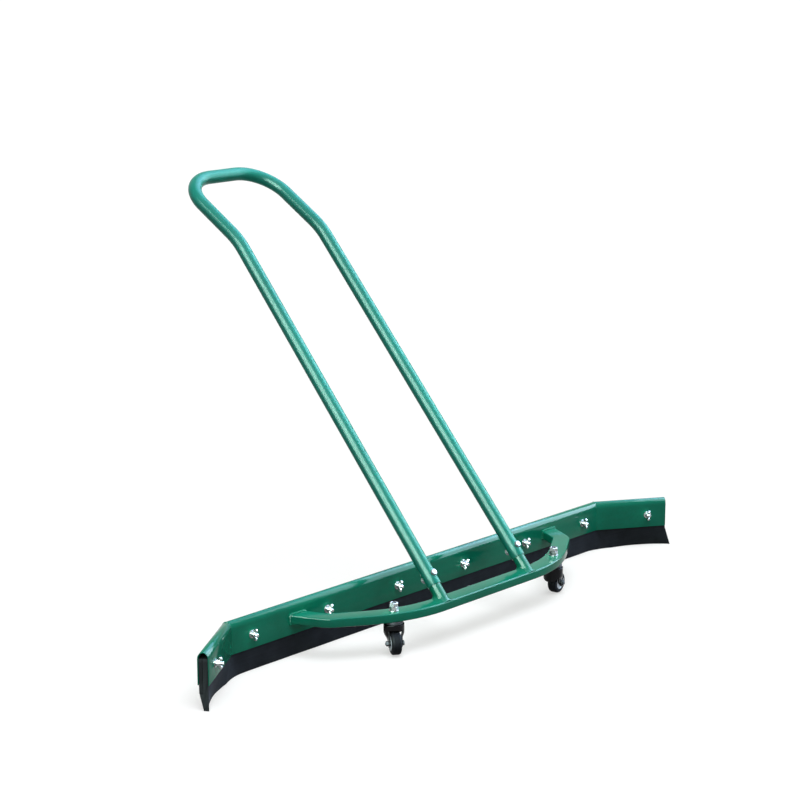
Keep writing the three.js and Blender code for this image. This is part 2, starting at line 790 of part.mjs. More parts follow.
function casterHub() {
  const rim = hubDiameter / 2;
  const rimInside = rim - hubRimWall;
  const boss = hubBossDiameter / 2;
  const half = hubWidth / 2;
  const web = hubWebThickness / 2;
  const bore = bushDiameter / 2 + seatGap;
  const rimHalf = half - hubRimSetback;
  return turned([
    [bore, -half],
    [boss, -half],
    [boss, -web],
    [rimInside, -web],
    [rimInside, -rimHalf],
    [rim, -rimHalf],
    [rim, rimHalf],
    [rimInside, rimHalf],
    [rimInside, web],
    [boss, web],
    [boss, half],
    [bore, half],
    [bore, -half],
  ], roundFacets);
}

function casterTyre() {
  const bore = hubDiameter / 2 + seatGap;
  const half = tyreWidth / 2;
  const edge = [];
  for (let i = 0; i <= tyreShoulderSteps; i += 1) {
    const angle = Math.PI / 2 * i / tyreShoulderSteps;
    edge.push([
      wheelRadius - tyreShoulder * (1 - Math.sin(angle)),
      half - tyreShoulder + tyreShoulder * Math.cos(angle),
    ]);
  }
  const lower = edge.map(([radius, along]) => [radius, -along]);
  return turned([
    [bore, -half],
    ...lower,
    ...edge.reverse(),
    [bore, half],
    [bore, -half],
  ], roundFacets);
}

function casterBush() {
  const bore = axleDiameter / 2 + boltClearance;
  return ring(bore, bushDiameter / 2, -bushLength / 2, bushLength / 2, smallFacets);
}

// A frame on the wheel's axle, with +Z along it
function axleFrame(parent) {
  const axle = new THREE.Group();
  axle.position.set(casterTrail, 0, wheelRadius);
  axle.rotation.x = Math.PI / 2;
  parent.add(axle);
  return axle;
}

function addCaster(name, side) {
  const caster = new THREE.Group();
  caster.position.set(side * casterHalfSpan, bowCentreY(casterHalfSpan), 0);
  squeegee.add(caster);
  addPiece(`${name}_stem`, casterStem(), darkSteel, caster);
  const washerFoot = bowTop + seatGap;
  const nutFoot = washerFoot + stemWasherThickness + seatGap;
  const lockFoot = nutFoot + stemNutHeight + seatGap;
  const bore = stemDiameter / 2 + boltClearance;
  addPiece(`${name}_stem_washer`, ring(bore, stemWasherDiameter / 2, washerFoot,
    washerFoot + stemWasherThickness, smallFacets), zincPlate, caster);
  addPiece(`${name}_stem_nut`, hexNut(stemNutAcross, 2 * bore, nutFoot, nutFoot + stemNutHeight),
    zincPlate, caster);
  addPiece(`${name}_lock_nut`, hexNut(stemNutAcross, 2 * bore, lockFoot, lockFoot + stemNutHeight),
    zincPlate, caster);

  const swivel = new THREE.Group();
  swivel.rotation.z = radians(casterTurnDegrees[side < 0 ? 'left' : 'right']);
  caster.add(swivel);
  addPiece(`${name}_ball_cage`, casterBallCage(), darkSteel, swivel);
  addPiece(`${name}_fork`, casterFork(), blackPaint, swivel);
  const axle = axleFrame(swivel);
  const axleLength = 2 * forkOutside + 2 * seatGap + axleNutHeight + axleTail;
  const bolt = addPiece(`${name}_axle_bolt`,
    hexBolt(axleHeadAcross, axleHeadHeight, axleDiameter, axleLength), zincPlate, axle);
  bolt.position.z = -forkOutside - seatGap;
  const nutAt = forkOutside + seatGap;
  addPiece(`${name}_axle_nut`, hexNut(axleHeadAcross, axleDiameter + 2 * boltClearance,
    nutAt, nutAt + axleNutHeight), zincPlate, axle);
  addPiece(`${name}_bush`, casterBush(), darkSteel, axle);
  addPiece(`${name}_hub`, casterHub(), hubPlastic, axle);
  addPiece(`${name}_tyre`, casterTyre(), tyreRubber, axle);
}

addBlade();
addBow();
addHandle();
addCaster('caster_left', -1);
addCaster('caster_right', 1);

export default squeegee;
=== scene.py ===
"""Dressed model of a wide court squeegee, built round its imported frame.

The frame gives the place and the size of every solid. The classes here build a finer piece over
each solid and give it its finish. X runs along the blade, +Y towards the person who holds the
handle, and +Z up. Pieces are built in millimetres and handed over in metres.
"""

import sys

import json
import logging
import math
from collections.abc import Callable, Sequence
from dataclasses import dataclass, field, replace
from enum import Enum

import bmesh
import bpy
from mathutils import Euler, Matrix, Vector


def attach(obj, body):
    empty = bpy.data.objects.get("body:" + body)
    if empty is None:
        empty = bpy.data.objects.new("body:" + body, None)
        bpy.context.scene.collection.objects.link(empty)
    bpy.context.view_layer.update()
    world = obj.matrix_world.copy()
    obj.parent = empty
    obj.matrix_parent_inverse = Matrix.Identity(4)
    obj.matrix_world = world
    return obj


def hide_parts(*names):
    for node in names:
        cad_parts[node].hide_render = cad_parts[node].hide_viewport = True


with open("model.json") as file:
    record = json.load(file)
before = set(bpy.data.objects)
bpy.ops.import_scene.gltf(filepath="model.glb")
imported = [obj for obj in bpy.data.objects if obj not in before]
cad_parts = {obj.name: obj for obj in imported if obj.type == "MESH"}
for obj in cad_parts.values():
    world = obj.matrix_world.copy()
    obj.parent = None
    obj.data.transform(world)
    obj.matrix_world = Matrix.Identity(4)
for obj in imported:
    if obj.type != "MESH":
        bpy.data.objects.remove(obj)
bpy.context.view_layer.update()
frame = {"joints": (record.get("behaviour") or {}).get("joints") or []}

log = logging.getLogger("squeegee")

# Values that several pieces share, in millimetres and radians
MM = 0.001
SHARP_ANGLE = math.radians(25)
FULL_TURN = 2 * math.pi
NEARLY_STRAIGHT = math.radians(170)
ARC_STEP = math.radians(3)
RUN_STEP = 20
EASE_ROOM_SHARE = 0.45
EDGE_ROUND = 0.3
BEVEL_ANGLE = math.radians(40)
BEAD_PITCH = 2.6
BEAD_STEP = 0.6
BEAD_RIPPLE = 0.09
BEAD_DRIFT = 0.35
BEAD_DRIFT_SCALE = 0.12
CAST_CELL = 0.5
CHAMFER_SHARE = 0.47
CHAMFER_SLOPE = 0.577
THREAD_DEPTH_SHARE = 0.61
THREAD_RIDGE_SHARE = 0.48
SPOT_RADIUS = 0.001
DRILL_SIDES = 28
TUBE_SIDES = 48
CORNER_STEPS = 5
BEAD_SIDES = 12
THREAD_SIDES = 24
FRAME_BODY = "frame"
STRIP_MAP = "strip"
FACING = "facing"

Triple = tuple[float, float, float]
Colour = Triple
Range = tuple[float, float]
Profile = Sequence[tuple[float, float]]


class Side(Enum):
    """A half of the squeegee, as seen by someone who faces +Y."""

    LEFT = -1
    RIGHT = 1

    @property
    def word(self) -> str:
        """The side's name in the frame's nodes and bodies."""
        return self.name.lower()


class Slot(Enum):
    """The record's material slots."""

    GREEN_ENAMEL = "green_enamel"
    GREEN_HANDLE = "green_handle"
    BLADE_RUBBER = "blade_rubber"
    ZINC_PLATE = "zinc_plate"
    BLACK_ENAMEL = "black_enamel"
    DARK_STEEL = "dark_steel"
    WHITE_PLASTIC = "white_plastic"
    TYRE_RUBBER = "tyre_rubber"


class TubeSection(Enum):
    """The outline that a tube is swept with."""

    ROUND = "round"
    BOX = "box"


# Node trees


class Signal:
    """A socket of a node tree that takes part in expressions as a number does."""

    def __init__(self, shop: "NodeShop", socket: bpy.types.NodeSocket | None) -> None:
        """Wraps one socket.

        Args:
            shop: The maker of nodes for the socket's tree.
            socket: The output socket, or None for a node without outputs.
        """
        self.shop = shop
        self.socket = socket

    def math(self, operation: str, *others: "Signal | float") -> "Signal":
        """Adds a Math node that starts from this value.

        Args:
            operation: The Math node's operation.
            others: The node's further values.

        Returns:
            The node's result.
        """
        values = dict(enumerate((self, *others)))
        return self.shop.add("ShaderNodeMath", values, operation=operation)

    def __add__(self, other: "Signal | float") -> "Signal":
        """This value plus another."""
        return self.math("ADD", other)

    __radd__ = __add__

    def __mul__(self, other: "Signal | float") -> "Signal":
        """This value times another."""
        return self.math("MULTIPLY", other)

    __rmul__ = __mul__

    def __sub__(self, other: "Signal | float") -> "Signal":
        """This value less another."""
        return self.math("SUBTRACT", other)

    def __rsub__(self, other: float) -> "Signal":
        """A number less this value."""
        return self.math("MULTIPLY_ADD", -1.0, other)

    def __truediv__(self, other: "Signal | float") -> "Signal":
        """This value over another."""
        return self.math("DIVIDE", other)

    def __rtruediv__(self, other: float) -> "Signal":
        """A number over this value."""
        return self.shop.add("ShaderNodeMath", {0: other, 1: self}, operation="DIVIDE")

    def larger(self, other: "Signal | float") -> "Signal":
        """The larger of this value and another."""
        return self.math("MAXIMUM", other)

    def sine(self) -> "Signal":
        """The sine of this value in radians."""
        return self.math("SINE")


class NodeShop:
    """Adds nodes of any type to one tree."""

    def __init__(self, tree: bpy.types.NodeTree) -> None:
        """Starts on a tree.

        Args:
            tree: The tree that the nodes go into.
        """
        self.tree = tree

    @classmethod
    def emptied(cls, owner: bpy.types.Material | bpy.types.World) -> "NodeShop":
        """Empties the tree of a material or a world and starts on it."""
        owner.use_nodes = True
        owner.node_tree.nodes.clear()
        return cls(owner.node_tree)

    @staticmethod
    def find(sockets: Sequence[bpy.types.NodeSocket], key: int | str) -> bpy.types.NodeSocket:
        """Finds a socket by its number, its identifier or its name.

        Args:
            sockets: A node's inputs or outputs.
            key: The socket's number, identifier or name.

        Returns:
            The socket.
        """
        if isinstance(key, int):
            return sockets[key]
        named = [socket for socket in sockets if socket.identifier == key]
        return named[0] if named else sockets[key]

    def add(
        self, kind: str, inputs: dict | None = None, output: int | str = 0, **settings: object
    ) -> Signal:
        """Adds a node, sets its settings and then fills its inputs.

        Args:
            kind: The node's type.
            inputs: A value, a Signal or several Signals for each input.
            output: The output that is handed back.
            settings: The node's own settings.

        Returns:
            The chosen output.
        """
        node = self.tree.nodes.new(kind)
        for name, value in settings.items():
            setattr(node, name, value)
        for key, value in (inputs or {}).items():
            socket = self.find(node.inputs, key)
            if not isinstance(value, (Signal, list)):
                socket.default_value = value
                continue
            for signal in value if isinstance(value, list) else [value]:
                self.tree.links.new(signal.socket, socket)
        return Signal(self, self.find(node.outputs, output) if len(node.outputs) else None)

    def noise(self, place: Signal, scale: float, detail: float) -> Signal:
        """Soft noise from 0 to 1 that has about scale bumps in each metre."""
        inputs = {"Vector": place, "Scale": scale, "Detail": detail}
        return self.add("ShaderNodeTexNoise", inputs, "Fac")

    def stretch(self, place: Signal, scale: Triple, turn: Triple = (0, 0, 0)) -> Signal:
        """Coordinates with a scale of their own along each axis."""
        return self.add("ShaderNodeMapping", {"Vector": place, "Rotation": turn, "Scale": scale})

    def mask(self, value: Signal, low: float, high: float) -> Signal:
        """A smooth step: 0 where value is at most low, and 1 where it is at least high."""
        inputs = {"Value": value, "From Min": low, "From Max": high}
        return self.add("ShaderNodeMapRange", inputs, interpolation_type="SMOOTHSTEP")

    def between(self, factor: Signal, first: Colour | Signal, second: Colour | Signal) -> Signal:
        """The first colour where factor is 0 and the second where it is 1."""
        tones = [tone if isinstance(tone, Signal) else (*tone, 1.0) for tone in (first, second)]
        inputs = {"Factor_Float": factor, "A_Color": tones[0], "B_Color": tones[1]}
        return self.add("ShaderNodeMix", inputs, "Result_Color", data_type="RGBA")

    def bump(self, height: Signal, depth: float, under: Signal | None = None) -> Signal:
        """A normal for a surface whose height, from 0 to 1, stands depth metres proud."""
        inputs = {"Height": height, "Distance": depth, "Strength": 1.0}
        return self.add("ShaderNodeBump", inputs if under is None else {**inputs, "Normal": under})


class ShapeTree:
    """A geometry node tree with named inputs, which ends in plain dressed geometry."""

    def __init__(
        self,
        name: str,
        sizes: dict[str, str],
        build: Callable[[NodeShop, dict[str, Signal]], Signal],
    ) -> None:
        """Builds the tree.

        Args:
            name: The tree's name.
            sizes: The kind of socket for each named input.
            build: Adds the nodes, from the inputs by name, and returns the shape.
        """
        self.tree = bpy.data.node_groups.new(name, "GeometryNodeTree")
        face = self.tree.interface
        kinds = {"Geometry": "Geometry", **sizes, "Material": "Material"}
        self.keys = {
            label: face.new_socket(label, in_out="INPUT", socket_type=f"NodeSocket{kind}").identifier
            for label, kind in kinds.items()
        }
        face.new_socket("Geometry", in_out="OUTPUT", socket_type="NodeSocketGeometry")
        shop = NodeShop(self.tree)
        entry = self.tree.nodes.new("NodeGroupInput")
        given = {label: Signal(shop, entry.outputs[label]) for label in self.keys}
        shape = shop.add("GeometryNodeRealizeInstances", {"Geometry": build(shop, given)})
        dressed = {"Geometry": shape, "Material": given["Material"]}
        shop.add("NodeGroupOutput", {0: shop.add("GeometryNodeSetMaterial", dressed)})

    def run(self, piece: bpy.types.Object, finish: "Finish", **sizes: object) -> bpy.types.Object:
        """Runs the tree on an object and leaves it with the plain mesh that comes out.

        Args:
            piece: The object whose mesh goes in.
            finish: The finish for the material input.
            sizes: A value for each named input, with _ for a space.

        Returns:
            The same object.
        """
        modifier = piece.modifiers.new(self.tree.name, "NODES")
        modifier.node_group = self.tree
        modifier[self.keys["Material"]] = finish.material()
        for label, value in sizes.items():
            modifier[self.keys[label.replace("_", " ")]] = value
        return plain(piece)


# Finishes


@dataclass(frozen=True)
class Finish:
    """A surface finish, which becomes one material, with the name of a record slot that the script
    keeps but does not use.
    """

    name: str
    slot: Slot

    def surface(self, shop: NodeShop, place: Signal) -> dict:
        """The inputs of the surface's shader.

        Args:
            shop: The maker of nodes for the material.
            place: The piece's own coordinates, in metres.

        Returns:
            A value or a Signal for each input of the shader.
        """
        raise NotImplementedError

    def material(self) -> bpy.types.Material:
        """The finish's material, made when it is first asked for.

        Returns:
            The material.
        """
        known = bpy.data.materials.get(self.name)
        if known:
            return known
        made = bpy.data.materials.new(self.name)
        shop = NodeShop.emptied(made)
        place = shop.add("ShaderNodeTexCoord", output="Object")
        shader = shop.add("ShaderNodeBsdfPrincipled", self.surface(shop, place))
        shop.add("ShaderNodeOutputMaterial", {"Surface": shader})
        return made


@dataclass(frozen=True)
class Enamel(Finish):
    """Glossy stoved enamel with a faint orange peel, clouding and a few light rubs."""

    deep: Colour = (0.0045, 0.164, 0.086)
    bright: Colour = (0.0061, 0.207, 0.110)
    rub: Colour = (0.03, 0.26, 0.17)
    rub_stretch: Triple = (14, 160, 160)
    rub_turn: Triple = (0.3, 0.5, 0.2)
    rub_paling: float = 0.35
    rub_dulling: float = 0.18
    gloss: float = 0.12
    specular: float = 0.07
    unevenness: float = 0.05
    cloud_scale: float = 7
    cloud_share: float = 0.75
    speck_scale: float = 160
    rub_range: Range = (0.66, 0.76)
    speck_range: Range = (0.42, 0.6)
    tone_range: Range = (0.32, 0.68)
    peel_scale: float = 700
    peel_depth: float = 0.00001
    wave_scale: float = 16
    wave_depth: float = 0.00035

    def surface(self, shop: NodeShop, place: Signal) -> dict:
        """Clouded colour, rubs that are paler and duller, and two depths of ripple."""
        cloud = shop.noise(place, self.cloud_scale, 3)
        speck = shop.noise(place, self.speck_scale, 3)
        rubbed = shop.noise(shop.stretch(place, self.rub_stretch, self.rub_turn), 1, 4)
        rubs = shop.mask(rubbed, *self.rub_range) * shop.mask(speck, *self.speck_range)
        clouding = cloud * self.cloud_share + speck * (1 - self.cloud_share)
        tone = shop.mask(clouding, *self.tone_range)
        clean = shop.between(tone, self.deep, self.bright)
        wave = shop.bump(shop.noise(place, self.wave_scale, 1), self.wave_depth)
        return {
            "Base Color": shop.between(rubs * self.rub_paling, clean, self.rub),
            "Roughness": (speck - 0.5) * self.unevenness + rubs * self.rub_dulling + self.gloss,
            "Specular IOR Level": self.specular,
            "Normal": shop.bump(shop.noise(place, self.peel_scale, 2), self.peel_depth, wave),
        }


@dataclass(frozen=True)
class Plating(Finish):
    """Bright plated steel with a fine spangle and the bloom of handling."""

    bright: Colour = (0.45, 0.46, 0.46)
    dull: Colour = (0.22, 0.225, 0.23)
    gloss: float = 0.14
    spangle_scale: float = 420
    spangle_dulling: float = 0.1
    bloom_scale: float = 90
    bloom_dulling: float = 0.18
    tone_share: float = 0.6
    tone_range: Range = (0.25, 0.75)
    pit_scale: float = 2600
    pit_depth: float = 0.00001

    def surface(self, shop: NodeShop, place: Signal) -> dict:
        """Grains of brighter and duller plating over a finely pitted face."""
        cells = {"Vector": place, "Scale": self.spangle_scale}
        grain = shop.add("ShaderNodeTexVoronoi", cells, "Distance")
        bloom = shop.noise(place, self.bloom_scale, 4)
        tone = shop.mask(grain * self.tone_share + bloom * self.tone_share, *self.tone_range)
        return {
            "Base Color": shop.between(tone, self.bright, self.dull),
            "Metallic": 1.0,
            "Roughness": bloom * self.bloom_dulling + grain * self.spangle_dulling + self.gloss,
            "Normal": shop.bump(shop.noise(place, self.pit_scale, 2), self.pit_depth),
        }


@dataclass(frozen=True)
class Rubber(Finish):
    """Black rubber with drawn lines along a strip, or a plain moulded grain."""

    dark: Colour = (0.0055, 0.0058, 0.0072)
    pale: Colour = (0.0120, 0.0126, 0.0152)
    dust: Colour = (0.04, 0.04, 0.04)
    dullness: float = 0.62
    specular: float = 0.03
    drawn: bool = False
    line_stretch: Triple = (5, 620, 1)
    line_depth: float = 0.00006
    line_dulling: float = 0.14
    grain_scale: float = 1900
    grain_depth: float = 0.00002
    bloom_scale: float = 24
    bloom_share: float = 0.6
    tone_range: Range = (0.34, 0.66)
    dust_range: Range = (0.45, 0.65)
    dust_top: float = 0.02
    dust_cover: float = 0.35
    dust_dulling: float = 0.2

    def surface(self, shop: NodeShop, place: Signal) -> dict:
        """Streaked or grained colour with a little dust low down."""
        grain = shop.noise(place, self.grain_scale, 3)
        bloom = shop.noise(place, self.bloom_scale, 4)
        lines = grain
        if self.drawn:
            strip = shop.add("ShaderNodeUVMap", uv_map=STRIP_MAP)
            lines = shop.noise(shop.stretch(strip, self.line_stretch), 1, 3)
        height = shop.add("ShaderNodeSeparateXYZ", {"Vector": place}, "Z")
        low = 1 - shop.mask(height, 0.0, self.dust_top)
        bloom_part, rest = bloom * self.bloom_share, 1 - self.bloom_share
        dusty = low * shop.mask(bloom_part + grain * rest, *self.dust_range) * self.dust_cover
        tone = shop.mask(bloom_part + lines * rest, *self.tone_range)
        ridges = shop.bump(lines, self.line_depth)
        return {
            "Base Color": shop.between(dusty, shop.between(tone, self.dark, self.pale), self.dust),
            "Roughness": lines * self.line_dulling + dusty * self.dust_dulling + self.dullness,
            "Specular IOR Level": self.specular,
            "Normal": shop.bump(grain, self.grain_depth, ridges),
        }


@dataclass(frozen=True)
class Plastic(Finish):
    """Moulded plastic with a soft sheen and faint flow marks."""

    clean: Colour = (0.88, 0.89, 0.88)
    soiled: Colour = (0.70, 0.71, 0.70)
    gloss: float = 0.34
    specular: float = 0.4
    flow_scale: float = 60
    flow_dulling: float = 0.1
    soil_range: Range = (0.5, 0.78)
    grain_scale: float = 900
    grain_dulling: float = 0.1
    grain_depth: float = 0.00002

    def surface(self, shop: NodeShop, place: Signal) -> dict:
        """Nearly even colour, soiled in patches, on a faintly uneven face."""
        flow = shop.noise(place, self.flow_scale, 4)
        grain = shop.noise(place, self.grain_scale, 2)
        soil = shop.mask(flow, *self.soil_range)
        return {
            "Base Color": shop.between(soil, self.clean, self.soiled),
            "Roughness": grain * self.grain_dulling + flow * self.flow_dulling + self.gloss,
            "Specular IOR Level": self.specular,
            "Normal": shop.bump(grain, self.grain_depth),
        }


GREEN_ENAMEL = Enamel("green gloss", Slot.GREEN_ENAMEL)
# The handle's green is the enamel's green made lighter and bluer. The lift is painted sheen: it stands
# in for a bluish sky's reflection on the tube.
GREEN_TUBE = Enamel(
    "green tube gloss",
    Slot.GREEN_HANDLE,
    deep=(0.0070, 0.200, 0.125),
    bright=(0.0100, 0.250, 0.160),
    gloss=0.30,
    specular=0.07,
    unevenness=0.02,
    wave_depth=0.0,
    peel_depth=0.000001,
)
BLACK_ENAMEL = Enamel(
    "black gloss",
    Slot.BLACK_ENAMEL,
    deep=(0.0035, 0.0035, 0.0042),
    bright=(0.0060, 0.0060, 0.0070),
    rub=(0.03, 0.03, 0.033),
    gloss=0.2,
    specular=0.1,
    wave_depth=0.0,
)
ZINC_PLATE = Plating("bright plating", Slot.ZINC_PLATE)
# A darker copy of the zinc plating, as painted shade. It dims the leg bolts and nuts, whose faces
# catch the gloss card.
DIMMED_PLATE = Plating(
    "worn plating", Slot.ZINC_PLATE, bright=(0.16, 0.165, 0.165), dull=(0.08, 0.08, 0.085), gloss=0.35
)
DARK_STEEL = Plating(
    "dark plating",
    Slot.DARK_STEEL,
    bright=(0.05, 0.05, 0.055),
    dull=(0.02, 0.02, 0.022),
    gloss=0.35,
    spangle_scale=700,
)
# The axle's zinc plating is drawn in the near-black dark plating, as painted shade that keeps its ends
# from glaring white.
AXLE_DIMMED_PLATE = replace(DARK_STEEL, slot=Slot.ZINC_PLATE)
STRIP_RUBBER = Rubber("drawn rubber", Slot.BLADE_RUBBER, drawn=True)
TYRE_RUBBER = Rubber("moulded rubber", Slot.TYRE_RUBBER, dullness=0.5, dust_top=0.006)
WHITE_PLASTIC = Plastic("hub plastic", Slot.WHITE_PLASTIC)


# Meshes


def progress(value: float, start: float, end: float) -> float:
    """How far a value has come from start to end, kept between 0 and 1."""
    return min(max((value - start) / (end - start), 0), 1)


def up_by(height: float) -> Matrix:
    """A shift along Z."""
    return Matrix.Translation((0, 0, height))


def rotated(angle: float, axis: str = "Z") -> Matrix:
    """A turn about an axis, in radians."""
    return Matrix.Rotation(angle, 4, axis)


def spread(count: int) -> list[float]:
    """Angles that share out a full turn."""
    return [FULL_TURN * i / count for i in range(count)]


def band(inner: float, outer: float, low: float, high: float) -> list[tuple[float, float]]:
    """The corners of a rectangle, from its lower inner one round."""
    return [(inner, low), (outer, low), (outer, high), (inner, high)]


def both_faces(half: Profile) -> list[tuple[float, float]]:
    """A closed profile from the half of it above zero."""
    return [*half, *[(radius, -along) for radius, along in reversed(half)]]


def eased(corners: Profile, radius: float, steps: int = 3, closed: bool = False) -> list:
    """Rounds the corners of an outline.

    Args:
        corners: The outline's points.
        radius: The radius at each corner, less where its sides are short.
        steps: The steps of each arc.
        closed: Whether the last point meets the first.

    Returns:
        The points of the eased outline.
    """
    points = [Vector(corner) for corner in corners]
    count = len(points)
    made: list[tuple[float, float]] = []
    for i, corner in enumerate(points):
        before = points[i - 1] - corner
        after = points[(i + 1) % count] - corner
        loose_end = not closed and i in (0, count - 1)
        if loose_end or before.angle(after) > NEARLY_STRAIGHT:
            made.append(tuple(corner))
            continue
        room = EASE_ROOM_SHARE * min(before.length, after.length)
        set_back = min(radius / math.tan(before.angle(after) / 2), room)
        start = corner + before.normalized() * set_back
        end = corner + after.normalized() * set_back
        for step in range(steps + 1):
            t = step / steps
            made.append(tuple(start * (1 - t) ** 2 + corner * (2 * t * (1 - t)) + end * t**2))
    return made


def lathe_rings(profile: Profile, sides: int) -> list[list[Vector]]:
    """Turns a profile of radius and height about Z.

    Args:
        profile: Radius and height of each point, with a radius of 0 for a pole.
        sides: The points in each ring.

    Returns:
        A ring of points, or a pole, for each point of the profile.
    """
    rings = []
    for radius, height in profile:
        angles = spread(sides) if radius > 0 else [0]
        rings.append([Vector((radius * math.cos(a), radius * math.sin(a), height)) for a in angles])
    return rings


def hexagon_ring(across: float, height: float, chamfer: float, sides: int) -> list[Vector]:
    """A ring on a hexagon's outline that dips where the corners were turned off to a cone.

    Args:
        across: The distance across the flats.
        height: The height of the face that the cone meets.
        chamfer: The slope of the cone, below zero at a lower face, or 0 for none.
        sides: The points in the ring, a multiple of 12.

    Returns:
        The ring's points.
    """
    ring = []
    for angle in spread(sides):
        reach = across / 2 / math.cos(angle % (FULL_TURN / 6) - FULL_TURN / 12)
        dip = max(0.0, reach - CHAMFER_SHARE * across) * chamfer
        ring.append(Vector((reach * math.cos(angle), reach * math.sin(angle), height - dip)))
    return ring


class Draft:
    """Points and faces in millimetres that become one closed mesh."""

    def __init__(self) -> None:
        """Starts with nothing."""
        self.shape = bmesh.new()

    def skin(
        self,
        rings: Sequence[Sequence[Vector]],
        place: Matrix | None = None,
        wrap: bool = False,
        caps: bool = True,
    ) -> "Draft":
        """Joins rings of points, in order, with faces.

        Args:
            rings: The rings, where a ring of one point is a pole.
            place: Where the rings go.
            wrap: Whether the last ring joins the first.
            caps: Whether open ends get a face.

        Returns:
            The draft.
        """
        at = place or Matrix()
        made = [[self.shape.verts.new(at @ point) for point in ring] for ring in rings]
        pairs = list(zip(made, made[1:]))
        if wrap:
            pairs.append((made[-1], made[0]))
        for low, high in pairs:
            for i in range(max(len(low), len(high))):
                j = (i + 1) % max(len(low), len(high))
                spots = ((low, i), (low, j), (high, j), (high, i))
                corners = [ring[step % len(ring)] for ring, step in spots]
                self.shape.faces.new(list(dict.fromkeys(corners)))
        if caps and not wrap:
            for ring in (made[0], made[-1]):
                if len(ring) > 2:
                    self.shape.faces.new(ring)
        return self

    def plate(self, outline: Profile, thickness: float, place: Matrix | None = None) -> "Draft":
        """Adds a flat plate in the XZ plane, half its thickness to each side of it."""
        halves = (-thickness / 2, thickness / 2)
        return self.skin([[Vector((x, y, z)) for x, z in outline] for y in halves], place)

    def trim(self, point: Vector, normal: Vector) -> "Draft":
        """Cuts away what lies past a plane, on the side that its normal points to.

        Args:
            point: A point of the plane.
            normal: The plane's normal.

        Returns:
            The draft.
        """
        parts = [*self.shape.verts, *self.shape.edges, *self.shape.faces]
        bmesh.ops.bisect_plane(
            self.shape, geom=parts, plane_co=point, plane_no=normal, clear_outer=True
        )
        return self

    def piece(self, name: str) -> bpy.types.Object:
        """Ends the draft with its faces turned outwards.

        Args:
            name: The object's name.

        Returns:
            A new object with the mesh.
        """
        bmesh.ops.recalc_face_normals(self.shape, faces=self.shape.faces)
        mesh = bpy.data.meshes.new(name)
        self.shape.to_mesh(mesh)
        self.shape.free()
        return linked(name, mesh)


def linked(name: str, data: bpy.types.ID) -> bpy.types.Object:
    """Puts a mesh, a lamp or a camera into the scene as an object."""
    made = bpy.data.objects.new(name, data)
    bpy.context.scene.collection.objects.link(made)
    return made


def ring_piece(name: str, profile: Profile, sides: int) -> bpy.types.Object:
    """A piece with a hole through it, turned about Z from a closed profile."""
    return Draft().skin(lathe_rings(profile, sides), wrap=True).piece(name)


def plain(piece: bpy.types.Object) -> bpy.types.Object:
    """Turns what an object's modifiers make into its own plain mesh.

    Args:
        piece: The object.

    Returns:
        The same object, with no modifiers left.
    """
    bpy.context.view_layer.update()
    graph = bpy.context.evaluated_depsgraph_get()
    mesh = bpy.data.meshes.new_from_object(
        piece.evaluated_get(graph), preserve_all_data_layers=True, depsgraph=graph
    )
    piece.modifiers.clear()
    piece.data = mesh
    return piece


def shaped(piece: bpy.types.Object, *steps: tuple[str, dict]) -> bpy.types.Object:
    """Runs modifiers on an object, in order.

    Args:
        piece: The object.
        steps: The type and the settings of each modifier.

    Returns:
        The same object with the plain mesh that comes out.
    """
    for kind, settings in steps:
        modifier = piece.modifiers.new(kind.lower(), kind)
        for name, value in settings.items():
            setattr(modifier, name, value)
    return plain(piece)


def bevelled(width: float = EDGE_ROUND) -> tuple[str, dict]:
    """The modifier step that rounds a piece's sharp edges.

    Args:
        width: The width of the round.

    Returns:
        The step.
    """
    return "BEVEL", {
        "width": width,
        "segments": 2,
        "limit_method": "ANGLE",
        "angle_limit": BEVEL_ANGLE,
        "use_clamp_overlap": True,
    }


def walled(thickness: float) -> tuple[str, dict]:
    """The modifier step that gives an open skin its wall, inwards."""
    return "SOLIDIFY", {"thickness": thickness, "offset": -1.0, "use_rim": True}


def cast(voxel: float, rounds: int, share: float) -> list[tuple[str, dict]]:
    """The modifier steps that melt joined shells into one cast or pressed body.

    Args:
        voxel: The size of the cells, in millimetres.
        rounds: How often the surface is smoothed.
        share: The share of its faces that the body keeps.

    Returns:
        The steps.
    """
    return [
        ("REMESH", {"mode": "VOXEL", "voxel_size": voxel, "adaptivity": 0.0}),
        ("SMOOTH", {"factor": 0.5, "iterations": rounds}),
        ("DECIMATE", {"decimate_type": "COLLAPSE", "ratio": share}),
    ]


def route_piece(name: str, points: Sequence[Vector], closed: bool = False) -> bpy.types.Object:
    """An object with one line of edges through points.

    Args:
        name: The object's name.
        points: The points, in order.
        closed: Whether the last point joins the first.

    Returns:
        The object.
    """
    count = len(points)
    edges = [(i, (i + 1) % count) for i in range(count if closed else count - 1)]
    mesh = bpy.data.meshes.new(name)
    mesh.from_pydata([tuple(point) for point in points], edges, [])
    return linked(name, mesh)


def marks_piece(name: str, places: Sequence[Matrix]) -> bpy.types.Object:
    """An object with a point at each place, which also keeps the way that the place faces.

    Args:
        name: The object's name.
        places: The places.

    Returns:
        The object.
    """
    mesh = bpy.data.meshes.new(name)
    mesh.from_pydata([tuple(place.translation) for place in places], [], [])
    facing = mesh.attributes.new(FACING, "FLOAT_VECTOR", "POINT")
    for mark, place in zip(facing.data, places):
        mark.vector = place.to_euler()
    return linked(name, mesh)


